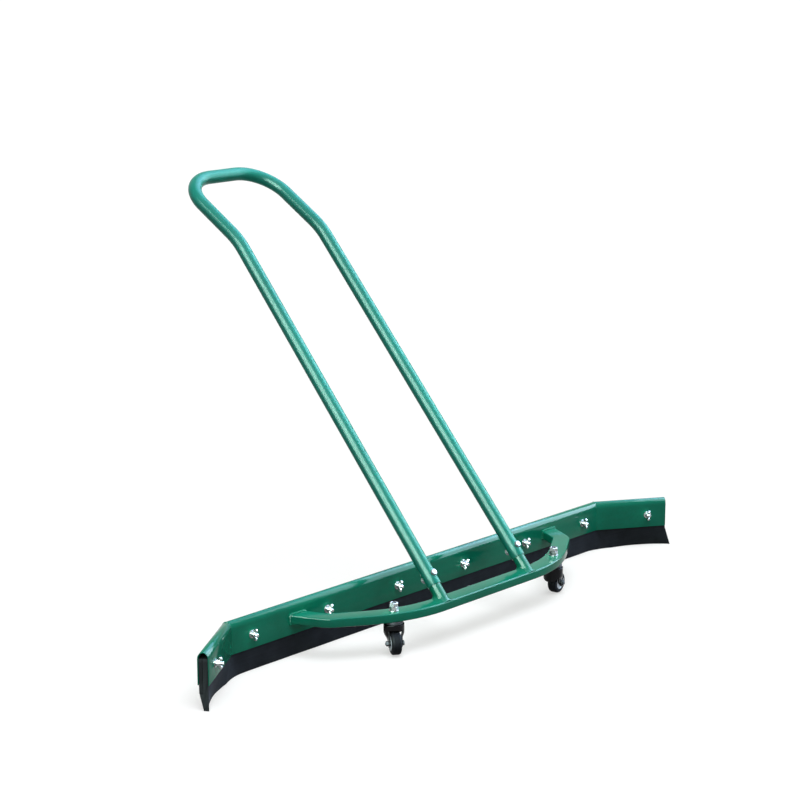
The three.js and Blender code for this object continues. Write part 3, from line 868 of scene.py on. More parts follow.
def bent_route(corners: Sequence[Vector], radii: Sequence[float]) -> list[Vector]:
    """A route of straight runs with an arc at each inner corner.

    Args:
        corners: Where the runs would meet, with the two ends.
        radii: The radius at each inner corner.

    Returns:
        The points of the route, in steps of at most ARC_STEP on arcs and RUN_STEP on runs.
    """
    points = [corners[0].copy()]
    for before, corner, after, radius in zip(corners, corners[1:], corners[2:], radii):
        incoming = (corner - before).normalized()
        outgoing = (after - corner).normalized()
        turn = incoming.angle(outgoing)
        start = corner - incoming * radius * math.tan(turn / 2)
        inward = (outgoing - incoming * outgoing.dot(incoming)).normalized()
        steps = math.ceil(turn / ARC_STEP)
        for step in range(steps + 1):
            angle = turn * step / steps
            ahead = incoming * radius * math.sin(angle)
            points.append(start + ahead + inward * radius * (1 - math.cos(angle)))
    points.append(corners[-1].copy())
    route = points[:1]
    for point in points[1:]:
        start = route[-1]
        count = max(math.ceil((point - start).length / RUN_STEP), 1)
        route.extend(start.lerp(point, step / count) for step in range(1, count + 1))
    return route


def hand_over(
    piece: bpy.types.Object,
    name: str,
    finish: Finish,
    nodes: Sequence[str] = (),
    body: str = FRAME_BODY,
) -> None:
    """Makes a finished mesh one of the squeegee's pieces.

    Args:
        piece: The object, in millimetres in the part's frame.
        name: The piece's name.
        finish: Its finish.
        nodes: The frame's nodes that it stands for.
        body: The body that it rides on.
    """
    mesh = piece.data
    mesh.transform(Matrix.Scale(MM, 4))
    mesh.materials.clear()
    mesh.materials.append(finish.material())
    mesh.polygons.foreach_set("material_index", [0] * len(mesh.polygons))
    mesh.shade_smooth()
    mesh.set_sharp_from_angle(angle=SHARP_ANGLE)
    piece.name = mesh.name = f"{name}_dressed" if nodes else name
    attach(piece, body)
    if nodes:
        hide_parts(*nodes)
    log.info("%s: %d faces on %s for %d nodes", name, len(mesh.polygons), body, len(nodes))


def drop(*helpers: bpy.types.Object) -> None:
    """Removes objects that only helped to make a piece."""
    for helper in helpers:
        bpy.data.objects.remove(helper, do_unlink=True)


# Shape trees


def instances_on_marks(shop: NodeShop, marks: Signal, shape: Signal) -> Signal:
    """Puts a shape on each mark, turned the way that the mark faces.

    Args:
        shop: The maker of nodes for the tree.
        marks: The points.
        shape: The shape.

    Returns:
        The instances.
    """
    facing = shop.add(
        "GeometryNodeInputNamedAttribute", {"Name": FACING}, data_type="FLOAT_VECTOR"
    )
    turn = shop.add("FunctionNodeEulerToRotation", {"Euler": facing})
    copies = {"Points": marks, "Instance": shape, "Rotation": turn}
    return shop.add("GeometryNodeInstanceOnPoints", copies)


def geometry_of(shop: NodeShop, source: Signal) -> Signal:
    """The geometry of the object on an input."""
    return shop.add(
        "GeometryNodeObjectInfo", {"Object": source}, "Geometry", transform_space="ORIGINAL"
    )


def circle(shop: NodeShop, points: int, radius: Signal) -> Signal:
    """A circle to sweep along a route."""
    sizes = {"Resolution": points, "Radius": radius}
    return shop.add("GeometryNodeCurvePrimitiveCircle", sizes, mode="RADIUS")


def swept(shop: NodeShop, route: Signal, outline: Signal, more: dict | None = None) -> Signal:
    """An outline swept along a route, with any further inputs of the node."""
    inputs = {"Curve": route, "Profile Curve": outline, **(more or {})}
    return shop.add("GeometryNodeCurveToMesh", inputs)


def joined(shop: NodeShop, *shapes: Signal) -> Signal:
    """Several shapes as one."""
    return shop.add("GeometryNodeJoinGeometry", {"Geometry": list(shapes)})


def along_z(shop: NodeShop, value: Signal) -> Signal:
    """A vector with a value as its Z."""
    return shop.add("ShaderNodeCombineXYZ", {"Z": value})


def fastener_tree() -> ShapeTree:
    """The tree that puts a pattern on each mark.

    Returns:
        The tree.
    """

    def build(shop: NodeShop, given: dict[str, Signal]) -> Signal:
        """Adds the copies."""
        return instances_on_marks(shop, given["Geometry"], geometry_of(shop, given["Pattern"]))

    return ShapeTree("fasteners on marks", {"Pattern": "Object"}, build)


def drill_tree() -> ShapeTree:
    """The tree that drills a hole through a piece at each mark.

    Returns:
        The tree.
    """

    def build(shop: NodeShop, given: dict[str, Signal]) -> Signal:
        """Adds the bits and the cut."""
        sizes = {"Vertices": DRILL_SIDES, "Radius": given["Diameter"] * 0.5, "Depth": given["Depth"]}
        bit = shop.add("GeometryNodeMeshCylinder", sizes)
        bits = instances_on_marks(shop, geometry_of(shop, given["Marks"]), bit)
        cutter = shop.add("GeometryNodeRealizeInstances", {"Geometry": bits})
        shapes = {"Mesh 1": given["Geometry"], "Mesh 2": cutter}
        return shop.add("GeometryNodeMeshBoolean", shapes, operation="DIFFERENCE", solver="EXACT")

    sizes = {"Marks": "Object", "Diameter": "Float", "Depth": "Float"}
    return ShapeTree("drilled holes", sizes, build)


def tube_tree(section: TubeSection) -> ShapeTree:
    """The tree that sweeps a tube's open skin along a route.

    Args:
        section: The outline that is swept.

    Returns:
        The tree.
    """

    def build(shop: NodeShop, given: dict[str, Signal]) -> Signal:
        """Adds the outline and the sweep."""
        route = shop.add("GeometryNodeMeshToCurve", {"Mesh": given["Geometry"]})
        if section is TubeSection.ROUND:
            return swept(shop, route, circle(shop, TUBE_SIDES, given["Width"] * 0.5))
        level = shop.add("GeometryNodeSetCurveNormal", {"Curve": route}, mode="Z_UP")
        sizes = {"Width": given["Width"], "Height": given["Height"]}
        flat = shop.add("GeometryNodeCurvePrimitiveQuadrilateral", sizes, mode="RECTANGLE")
        corners = {"Curve": flat, "Count": CORNER_STEPS, "Radius": given["Corner"]}
        return swept(shop, level, shop.add("GeometryNodeFilletCurve", corners, mode="POLY"))

    sizes = {"Width": "Float", "Height": "Float", "Corner": "Float"}
    return ShapeTree(f"{section.value} tube", sizes, build)


def bead_tree() -> ShapeTree:
    """The tree that lays a rippled weld bead along a route.

    Returns:
        The tree.
    """

    def build(shop: NodeShop, given: dict[str, Signal]) -> Signal:
        """Adds the rippled sweep."""
        route = shop.add("GeometryNodeMeshToCurve", {"Mesh": given["Geometry"]})
        steps = {"Curve": route, "Length": BEAD_STEP}
        fine = shop.add("GeometryNodeResampleCurve", steps, mode="LENGTH")
        along = shop.add("GeometryNodeSplineParameter", output="Length")
        ripple = (along * (FULL_TURN / given["Pitch"])).sine() * BEAD_RIPPLE
        drift = {"W": along + given["Seed"], "Scale": BEAD_DRIFT_SCALE, "Detail": 2.0}
        uneven = shop.add("ShaderNodeTexNoise", drift, "Fac", noise_dimensions="1D")
        width = ripple + (uneven - 0.5) * BEAD_DRIFT + 1
        outline = circle(shop, BEAD_SIDES, given["Radius"])
        return swept(shop, fine, outline, {"Scale": width, "Fill Caps": True})

    return ShapeTree("weld bead", {"Radius": "Float", "Pitch": "Float", "Seed": "Float"}, build)


def thread_tree() -> ShapeTree:
    """The tree that winds a screw thread's ridge on a shank, along +Z from its origin.

    Returns:
        The tree.
    """

    def build(shop: NodeShop, given: dict[str, Signal]) -> Signal:
        """Adds the coiled ridge."""
        sizes = {
            "Resolution": THREAD_SIDES,
            "Rotations": given["Length"] / given["Pitch"],
            "Start Radius": given["Radius"],
            "End Radius": given["Radius"],
            "Height": given["Length"],
        }
        coil = shop.add("GeometryNodeCurveSpiral", sizes)
        crest = circle(shop, 4, given["Pitch"] * THREAD_RIDGE_SHARE)
        ridge = swept(shop, coil, crest, {"Fill Caps": True})
        shift = {"Geometry": ridge, "Translation": along_z(shop, given["Start"])}
        return joined(shop, given["Geometry"], shop.add("GeometryNodeTransform", shift))

    sizes = {"Radius": "Float", "Pitch": "Float", "Start": "Float", "Length": "Float"}
    return ShapeTree("screw thread", sizes, build)


def ring_tree() -> ShapeTree:
    """The tree that joins a piece with a pattern that is repeated round its Z axis.

    Returns:
        The tree.
    """

    def build(shop: NodeShop, given: dict[str, Signal]) -> Signal:
        """Adds the ring of copies."""
        spots = shop.add("GeometryNodeMeshCircle", {"Vertices": given["Count"], "Radius": SPOT_RADIUS})
        angle = shop.add("GeometryNodeInputIndex") * (FULL_TURN / given["Count"])
        turn = shop.add("FunctionNodeEulerToRotation", {"Euler": along_z(shop, angle)})
        pattern = geometry_of(shop, given["Pattern"])
        copies = {"Points": spots, "Instance": pattern, "Rotation": turn}
        return joined(shop, given["Geometry"], shop.add("GeometryNodeInstanceOnPoints", copies))

    return ShapeTree("pattern round an axis", {"Pattern": "Object", "Count": "Int"}, build)


class ShapeShop:
    """Holds the shape trees that the squeegee's pieces are made with."""

    def __init__(self) -> None:
        """Builds each tree once."""
        self.fasteners = fastener_tree()
        self.drill = drill_tree()
        self.tubes = {section: tube_tree(section) for section in TubeSection}
        self.bead = bead_tree()
        self.thread = thread_tree()
        self.ring = ring_tree()

    def drilled(
        self,
        piece: bpy.types.Object,
        finish: Finish,
        places: Sequence[Matrix],
        diameter: float,
        depth: float,
    ) -> bpy.types.Object:
        """Drills a piece.

        Args:
            piece: The piece.
            finish: Its finish.
            places: The middle of each hole, with Z along it.
            diameter: The holes' diameter.
            depth: The holes' depth, half to each side of the place.

        Returns:
            The drilled piece.
        """
        marks = marks_piece("hole_marks", places)
        self.drill.run(piece, finish, Marks=marks, Diameter=diameter, Depth=depth)
        drop(marks)
        return piece

    def fasten(
        self,
        kind: str,
        pattern: bpy.types.Object,
        finish: Finish,
        places: dict[str, Matrix],
    ) -> None:
        """Puts a fastener at each place and hands all of them over as one piece.

        Args:
            kind: The kind of fastener, as the frame's nodes name it.
            pattern: One fastener, about its own origin.
            finish: The finish.
            places: The place of each fastener, by the end of its node's name.
        """
        row = marks_piece("row", list(places.values()))
        self.fasteners.run(row, finish, Pattern=pattern)
        drop(pattern)
        hand_over(row, f"{kind}s", finish, [f"{kind}_{label}" for label in places])

    def ringed(
        self, piece: bpy.types.Object, finish: Finish, pattern: bpy.types.Object, count: int
    ) -> bpy.types.Object:
        """Joins a piece with copies of a pattern round its Z axis.

        Args:
            piece: The piece.
            finish: Its finish.
            pattern: The pattern, which is dropped.
            count: The number of copies.

        Returns:
            The piece.
        """
        self.ring.run(piece, finish, Pattern=pattern, Count=count)
        drop(pattern)
        return piece

    def tube_skin(
        self, section: TubeSection, route: Sequence[Vector], finish: Finish, **sizes: float
    ) -> Draft:
        """A draft with a tube's open skin.

        Args:
            section: The tube's outline.
            route: The tube's centre line.
            finish: Its finish.
            sizes: The outline's sizes.

        Returns:
            The draft.
        """
        tube = route_piece("route", route)
        self.tubes[section].run(tube, finish, **sizes)
        skin = Draft()
        skin.shape.from_mesh(tube.data)
        drop(tube)
        return skin

    def weld(
        self, name: str, route: Sequence[Vector], radius: float, seed: float, closed: bool = True
    ) -> None:
        """Lays a painted weld bead and hands it over.

        Args:
            name: The bead's name.
            route: The points that it follows.
            radius: Its radius.
            seed: Where its unevenness starts.
            closed: Whether it ends where it began.
        """
        bead = route_piece(name, route, closed)
        self.bead.run(bead, GREEN_ENAMEL, Radius=radius, Pitch=BEAD_PITCH, Seed=seed)
        hand_over(bead, name, GREEN_ENAMEL)


# Bolts, nuts and washers


@dataclass(frozen=True)
class Fastening:
    """A metric bolt or nut size, in millimetres."""

    diameter: float
    across: float
    pitch: float
    sides: int = 36
    clearance: float = 0.6
    tip_length: float = 0.3
    tip_taper: float = 0.7
    bore_chamfer: float = 0.5
    washer_ease: float = 0.35

    @property
    def hole(self) -> float:
        """The clearance hole's diameter."""
        return self.diameter + self.clearance

    @property
    def core(self) -> float:
        """The radius at the bottom of the thread."""
        return self.diameter / 2 - THREAD_DEPTH_SHARE * self.pitch

    def bolt(
        self, shapes: ShapeShop, head: float, length: float, threaded: float
    ) -> bpy.types.Object:
        """A hexagon bolt along +Z with its head below zero.

        Args:
            shapes: The shape trees.
            head: The head's height.
            length: The shank's length.
            threaded: How much of the shank has a cut thread.

        Returns:
            The pattern.
        """
        radius = self.diameter / 2
        start = length - threaded
        shank = [
            (radius, 0),
            (radius, start),
            (self.core, start),
            (self.core, length - self.tip_length),
            (self.core - self.tip_taper, length),
            (0, length),
        ]
        rings = [
            *lathe_rings([(0, -head), (CHAMFER_SHARE * self.across, -head)], self.sides),
            hexagon_ring(self.across, -head, -CHAMFER_SLOPE, self.sides),
            hexagon_ring(self.across, 0, 0, self.sides),
            *lathe_rings(shank, self.sides),
        ]
        bolt = Draft().skin(rings).piece("bolt_pattern")
        thread = {"Radius": self.core, "Pitch": self.pitch, "Start": start}
        return shapes.thread.run(bolt, ZINC_PLATE, Length=threaded - self.pitch, **thread)

    def nut(self, height: float) -> bpy.types.Object:
        """A hexagon nut along +Z, from zero to its height, with both faces chamfered.

        Args:
            height: The nut's height.

        Returns:
            The pattern.
        """
        bore = self.hole / 2
        mouth = bore + self.bore_chamfer
        flat = CHAMFER_SHARE * self.across
        high = [(flat, height), (mouth, height), (bore, height - self.bore_chamfer)]
        rings = [
            *lathe_rings([(mouth, 0), (flat, 0)], self.sides),
            hexagon_ring(self.across, 0, -CHAMFER_SLOPE, self.sides),
            hexagon_ring(self.across, height, CHAMFER_SLOPE, self.sides),
            *lathe_rings([*high, (bore, self.bore_chamfer)], self.sides),
        ]
        return Draft().skin(rings, wrap=True).piece("nut_pattern")

    def washer(self, outer: float, thickness: float) -> bpy.types.Object:
        """A punched washer from zero up, with its edges rounded by the punch.

        Args:
            outer: The outer diameter.
            thickness: The thickness.

        Returns:
            The pattern.
        """
        corners = band(self.hole / 2, outer / 2, 0, thickness)
        profile = eased(corners, self.washer_ease, 2, closed=True)
        return ring_piece("washer_pattern", profile, self.sides)


M8 = Fastening(diameter=8, across=13, pitch=1.25)
M8_HEAD = 5.3
M10 = Fastening(diameter=10, across=17, pitch=1.5)
M6 = Fastening(diameter=6, across=10, pitch=1.0)


@dataclass(frozen=True)
class BladeLine:
    """The line that channel and rubber follow: a long middle and two wings, in millimetres."""

    corner: float = 610
    wing_length: float = 184
    wing_turn: float = math.radians(33)
    foot: float = 48.5

    @property
    def mitre_slope(self) -> float:
        """How far a mitre runs along X for each step along Y."""
        return math.tan(self.wing_turn / 2)

    def wing_place(self, side: Side) -> Matrix:
        """The frame of a wing, with its origin in the middle of the mitre."""
        hinge = Matrix.Translation((side.value * self.corner, 0, 0))
        return hinge @ rotated(-side.value * self.wing_turn)


@dataclass
class ClampRow:
    """The eight bolts, washers and wing nuts that clamp the rubber in the channel."""

    shapes: ShapeShop
    path: BladeLine = BladeLine()
    pitch: float = 220
    count: int = 6
    height: float = 80
    back_face: float = 12.3
    wing_setback: float = 136
    grip: float = 26.5
    tail: float = 16
    thread_length: float = 11
    washer_foot: float = 24.6
    washer_outer: float = 18
    washer_thickness: float = 1.6
    hub_base: float = 12.4
    hub_top: float = 10.2
    hub_height: float = 8
    hub_sides: int = 48
    cast_finish: tuple[int, float] = (7, 0.35)
    ear_reach: float = 13
    ear_height: float = 13
    ear_radius: float = 4.2
    ear_thickness: float = 3.5
    ear_root: float = 2
    ear_overhang: float = 0.6
    ear_angles: tuple[int, ...] = tuple(range(-30, 151, 15))
    turn_shares: tuple[float, ...] = (0.5, 0.46, 0.39, 0.44, 0.33, 0.41, 0.51, 0.48)

    def places(self, lift: float = 0.0, turned: bool = False) -> list[Matrix]:
        """Where the clamps are, from the left wing to the right one.

        Args:
            lift: The distance from the bolt heads' seat towards the front.
            turned: Whether each place is turned as its wing nut is.

        Returns:
            The places, with Z towards the front.
        """
        seat = rotated(math.pi / 2, "X") @ up_by(lift)
        line = Vector((0, self.back_face, self.height))
        made = []
        for side in Side:
            spot = line + Vector((side.value * self.wing_setback, 0, 0))
            made.append(self.path.wing_place(side) @ Matrix.Translation(spot) @ seat)
        middle = [(i - (self.count - 1) / 2) * self.pitch for i in range(self.count)]
        made[1:1] = [Matrix.Translation(line + Vector((x, 0, 0))) @ seat for x in middle]
        if turned:
            spins = [rotated(math.pi * share) for share in self.turn_shares]
            made = [place @ spin for place, spin in zip(made, spins)]
        return made

    def wing_nut(self) -> bpy.types.Object:
        """A cast wing nut: a tapered hub that runs into two round ears.

        Returns:
            The pattern.
        """
        hub = [
            (0, 0),
            (self.hub_base / 2, 0),
            (self.hub_base / 2, self.ear_root),
            (self.hub_top / 2, self.hub_height),
            (0, self.hub_height),
        ]
        draft = Draft().skin(lathe_rings(hub, self.hub_sides))
        centre = Vector((self.ear_reach - self.ear_radius, self.ear_height - self.ear_radius))
        angles = [math.radians(angle) for angle in self.ear_angles]
        rim = [centre + self.ear_radius * Vector((math.cos(a), math.sin(a))) for a in angles]
        outline = [
            (self.hub_top / 4, self.ear_root),
            (self.hub_base / 2 + self.ear_overhang, self.ear_root),
            *[tuple(point) for point in rim],
            (self.hub_top / 4, self.hub_height),
        ]
        for turn in (0, math.pi):
            draft.plate(outline, self.ear_thickness, rotated(turn))
        nut = shaped(draft.piece("wing_nut_pattern"), *cast(CAST_CELL, *self.cast_finish))
        bore = up_by(self.hub_height / 2)
        return self.shapes.drilled(nut, ZINC_PLATE, [bore], M8.hole, 3 * self.hub_height)

    def build(self) -> None:
        """Builds the bolts, the washers and the wing nuts, each kind as one piece."""
        bolt = M8.bolt(self.shapes, M8_HEAD, self.grip + self.tail, self.thread_length)
        washer = M8.washer(self.washer_outer, self.washer_thickness)
        kinds = {
            "clamp_bolt": (bolt, self.places()),
            "clamp_washer": (washer, self.places(self.washer_foot)),
            "wing_nut": (self.wing_nut(), self.places(self.grip, turned=True)),
        }
        for kind, (pattern, places) in kinds.items():
            numbered = {str(number): place for number, place in enumerate(places, 1)}
            self.shapes.fasten(kind, pattern, ZINC_PLATE, numbered)


# Channel and rubber


@dataclass
class BladeChannel:
    """The folded channel: a long middle run and two wings, joined by dressed welds."""

    shapes: ShapeShop
    clamps: ClampRow
    path: BladeLine = BladeLine()
    width: float = 24
    wall: float = 2
    height: float = 70
    crown_rise: float = 15
    seat: float = 0.3
    lip: float = 0.7
    arc_steps: int = 28
    bead_inset: float = 0.55
    bead_radius: float = 0.95
    bead_lift: float = 1
    bead_seed: float = 3

    def outline(self, inset: float) -> list[tuple[float, float]]:
        """Half a round crown with its flanks, from the front foot to the back one.

        Args:
            inset: How far the line lies inside the channel's outer face.

        Returns:
            The points, as Y and Z.
        """
        reach = self.width / 2 - inset
        springing = self.path.foot + self.height - self.crown_rise
        rise = self.crown_rise - inset
        angles = [math.pi * (1 - i / self.arc_steps) for i in range(self.arc_steps + 1)]
        crown = [(reach * math.cos(a), springing + rise * math.sin(a)) for a in angles]
        return [(-reach, self.path.foot), *crown, (reach, self.path.foot)]

    def section(self) -> list[tuple[float, float]]:
        """The closed section of the folded sheet, with its cut lips rounded.

        Returns:
            The points, as Y and Z.
        """
        outer = self.outline(0)
        ring = [*outer, *reversed(self.outline(self.wall))]
        lips = {0, len(outer) - 1, len(outer), len(ring) - 1}
        made = []
        for i, corner in enumerate(ring):
            if i not in lips:
                made.append(corner)
                continue
            near = [ring[i - 1], corner, ring[(i + 1) % len(ring)]]
            made.extend(eased(near, self.lip)[1:-1])
        return made

    def run(self, start: Callable[[float], float], end: Callable[[float], float]) -> Draft:
        """A run of channel along X whose ends follow start(y) and end(y)."""
        section = self.section()
        return Draft().skin([[Vector((at(y), y, z)) for y, z in section] for at in (start, end)])

    def mitre_at(self, y: float) -> float:
        """Where the middle run ends on the right, at a given Y."""
        return self.path.corner + y * self.path.mitre_slope - self.seat / 2

    def finish_run(self, piece: bpy.types.Object, name: str, holes: Sequence[Matrix]) -> None:
        """Bevels, drills and hands over one run.

        Args:
            piece: The run.
            name: The frame's node that it stands for.
            holes: The middle of each hole.
        """
        shaped(piece, bevelled())
        self.shapes.drilled(piece, GREEN_ENAMEL, holes, M8.hole, 2 * self.width)
        hand_over(piece, name, GREEN_ENAMEL, [name])

    def mitre_bead(self, side: Side) -> None:
        """Lays the dressed weld over the outside of a mitre.

        Args:
            side: The mitre's side.
        """
        corner, slope = self.path.corner, self.path.mitre_slope
        outline = self.outline(self.bead_inset)
        line = [Vector((side.value * (corner + y * slope), y, z)) for y, z in outline]
        for end in (line[0], line[-1]):
            end.z += self.bead_lift
        seed = self.bead_seed + side.value
        self.shapes.weld(f"weld_mitre_{side.word}", line, self.bead_radius, seed, closed=False)

    def build(self) -> None:
        """Builds the three runs and the welds between them."""
        slope = self.path.mitre_slope
        gap = self.seat / 2
        holes = self.clamps.places(self.width / 2 + self.seat)
        main_run = self.run(lambda y: -self.mitre_at(y), self.mitre_at)
        self.finish_run(main_run.piece("channel_main"), "channel_main", holes[1:-1])
        for side, hole in ((Side.LEFT, holes[0]), (Side.RIGHT, holes[-1])):
            sign = side.value
            end = sign * self.path.wing_length
            wing = self.run(lambda y: sign * (gap - y * slope), lambda y: end).piece("wing")
            wing.data.transform(self.path.wing_place(side))
            self.finish_run(wing, f"channel_wing_{side.word}", [hole])
            self.mitre_bead(side)


@dataclass
class RubberStrips:
    """The blade and its backing: strips that the channel grips and that ease round its bends."""

    shapes: ShapeShop
    clamps: ClampRow
    path: BladeLine = BladeLine()
    top: float = 104
    blade_front: float = -9.5
    blade_back: float = 1.5
    blade_rows: int = 12
    backing_back: float = 9.5
    backing_foot: float = 31.5
    backing_rows: int = 8
    layer_gap: float = 0.3
    wedge_top: float = 31.2
    wedge_back: float = 9
    wedge_rows: int = 4
    flank_rows: int = 8
    edge_round: float = 0.6
    hole_depth: float = 40
    grip_radius: float = 14.5
    free_radius: float = 150
    wing_sag: float = 9
    tip_curl: float = 5
    end_inset: float = 1
    end_flare: float = 13
    ripple: float = 0.35
    ripple_steps: Range = (0.55, 0.17)
    map_tilt: float = 0.3
    straight_steps: int = 44
    bend_steps: int = 14
    wing_steps: int = 22

    def point(self, station: int, offset: float, z: float) -> Vector:
        """A point of a strip.

        Args:
            station: The step along the strip, negative in the left half.
            offset: The distance towards the back.
            z: The height.

        Returns:
            The point.
        """
        path = self.path
        side = -1 if station < 0 else 1
        i = abs(station)
        free = progress(z, path.foot, 0)
        radius = self.grip_radius + (self.free_radius - self.grip_radius) * free
        tangent = radius * path.mitre_slope
        bend_end = self.straight_steps + self.bend_steps
        angle = path.wing_turn * progress(i, self.straight_steps, bend_end)
        wing = progress(i, bend_end, bend_end + self.wing_steps)
        straight = (path.corner - tangent) * min(i / self.straight_steps, 1)
        overhang = -self.end_inset + (self.end_flare + self.end_inset) * free
        run = wing * (path.wing_length + overhang - tangent)
        sway = free * (4 * self.wing_sag * wing * (1 - wing) - self.tip_curl * wing**4)
        quick, slow = self.ripple_steps
        sway += self.ripple * free * math.sin(i * quick + side) * math.sin(i * slow)
        x = straight + radius * math.sin(angle) + run * math.cos(path.wing_turn)
        y = -radius * (1 - math.cos(angle)) - run * math.sin(path.wing_turn)
        reach = offset + sway
        return Vector((side * (x + reach * math.sin(angle)), y + reach * math.cos(angle), z))

    def strip(self, name: str, front: float, back: Profile, foot: float, rows: int) -> None:
        """Builds one strip.

        Args:
            name: The frame's node that it stands for.
            front: The offset of its front face.
            back: The height and the offset of each point of its back, from the foot up.
            foot: The height of its lower edge.
            rows: The rows of faces from its foot to its top.
        """
        last = self.straight_steps + self.bend_steps + self.wing_steps
        heights = [foot + (self.top - foot) * row / rows for row in range(rows + 1)]
        outline = [*[(z, front) for z in heights], *reversed(back)]
        stations = range(-last, last + 1)
        rings = [[self.point(station, offset, z) for z, offset in outline] for station in stations]
        piece = Draft().skin(rings).piece(name)
        self.lay_strip_map(piece.data)
        shaped(piece, bevelled(self.edge_round))
        holes = self.clamps.places(self.clamps.back_face)
        self.shapes.drilled(piece, STRIP_RUBBER, holes, M8.hole, self.hole_depth)
        hand_over(piece, name, STRIP_RUBBER, [name])

    def lay_strip_map(self, mesh: bpy.types.Mesh) -> None:
        """Gives a strip a map of metres along it and metres up it, for its drawn lines.

        Args:
            mesh: The strip's mesh.
        """
        layer = mesh.uv_layers.new(name=STRIP_MAP)
        for loop in mesh.loops:
            place = mesh.vertices[loop.vertex_index].co
            up = place.z + self.map_tilt * place.y
            layer.data[loop.index].uv = (place.x * MM, up * MM)

    def flank(self, low: float, offset: float) -> list[tuple[float, float]]:
        """The even rows of a strip's upright back, from a height to the strip's top."""
        rise, count = self.top - low, self.flank_rows
        return [(low + rise * row / count, offset) for row in range(count + 1)]

    def build(self) -> None:
        """Builds the blade and the backing behind it."""
        wide = self.wedge_back - self.blade_back
        shares = [row / self.wedge_rows for row in range(self.wedge_rows + 1)]
        wedge = [(self.wedge_top * share, self.blade_back + wide * share) for share in shares]
        back = [*wedge, *self.flank(self.wedge_top, self.blade_back)]
        self.strip("rubber_blade", self.blade_front, back, 0, self.blade_rows)
        front = self.blade_back + self.layer_gap
        back = self.flank(self.backing_foot, self.backing_back)
        self.strip("backing_strip", front, back, self.backing_foot, self.backing_rows)


# Bow and handle


@dataclass
class BowTube:
    """The bowed box tube in front of the channel, with the welds at its ends."""

    shapes: ShapeShop
    width: float = 40
    height: float = 20
    wall: float = 2
    corner: float = 3
    underside: float = 73
    reach: float = 176
    straight_half: float = 150
    shoulder_radius: float = 302
    shoulder_turn: float = math.radians(34)
    arm_half_span: float = 391
    end_radius: float = 42
    end_turn: float = math.radians(66)
    end_face: float = -12.3
    overrun: float = 5
    bead_radius: float = 3
    bead_margin: float = 0.5
    bead_standoff: float = 1
    bead_seed: float = 11
    stem_holes: tuple[Vector, ...] = ()

    def route(self) -> list[Vector]:
        """The tube's centre line from left to right.

        Returns:
            The points.
        """
        height = self.underside + self.height / 2
        shoulder = self.straight_half + self.shoulder_radius * math.tan(self.shoulder_turn / 2)
        arm_y = -self.reach + (self.arm_half_span - shoulder) * math.tan(self.shoulder_turn)
        rise = self.end_face + self.overrun - arm_y
        end_x = self.arm_half_span + rise / math.tan(self.end_turn)
        half = [(shoulder, -self.reach), (self.arm_half_span, arm_y), (end_x, arm_y + rise)]
        right = [Vector((x, y, height)) for x, y in half]
        left = [Vector((-x, y, height)) for x, y in reversed(half)]
        radii = [self.end_radius, self.shoulder_radius]
        return bent_route([*left, *right], [*radii, *reversed(radii)])

    def end_bead(self, side: Side, route: Sequence[Vector]) -> None:
        """Lays the weld round an end of the tube, on the channel's front.

        Args:
            side: The end's side.
            route: The tube's centre line.
        """
        before, last = (route[1], route[0]) if side is Side.LEFT else (route[-2], route[-1])
        middle = before.lerp(last, (self.end_face - before.y) / (last.y - before.y))
        half_width = self.width / 2 / math.sin(self.end_turn) + self.bead_margin
        half_height = self.height / 2 + self.bead_margin
        corners = band(-half_width, half_width, -half_height, half_height)
        outline = eased(corners, self.corner, 4, closed=True)
        y = self.end_face - self.bead_standoff
        line = [Vector((middle.x + x, y, middle.z + z)) for x, z in outline]
        seed = self.bead_seed + side.value
        self.shapes.weld(f"weld_bow_{side.word}", line, self.bead_radius, seed)

    def build(self) -> None:
        """Sweeps, trims, walls and drills the tube, and lays its welds."""
        route = self.route()
        sizes = {"Width": self.width, "Height": self.height, "Corner": self.corner}
        skin = self.shapes.tube_skin(TubeSection.BOX, route, GREEN_ENAMEL, **sizes)
        skin.trim(Vector((0, self.end_face, 0)), Vector((0, 1, 0)))
        bow = shaped(skin.piece("bow_tube"), walled(self.wall))
        marks = [Matrix.Translation(place) for place in self.stem_holes]
        self.shapes.drilled(bow, GREEN_ENAMEL, marks, M10.hole, 3 * self.height)
        hand_over(bow, "bow_tube", GREEN_ENAMEL, ["bow_tube"])
        for side in Side:
            self.end_bead(side, route)


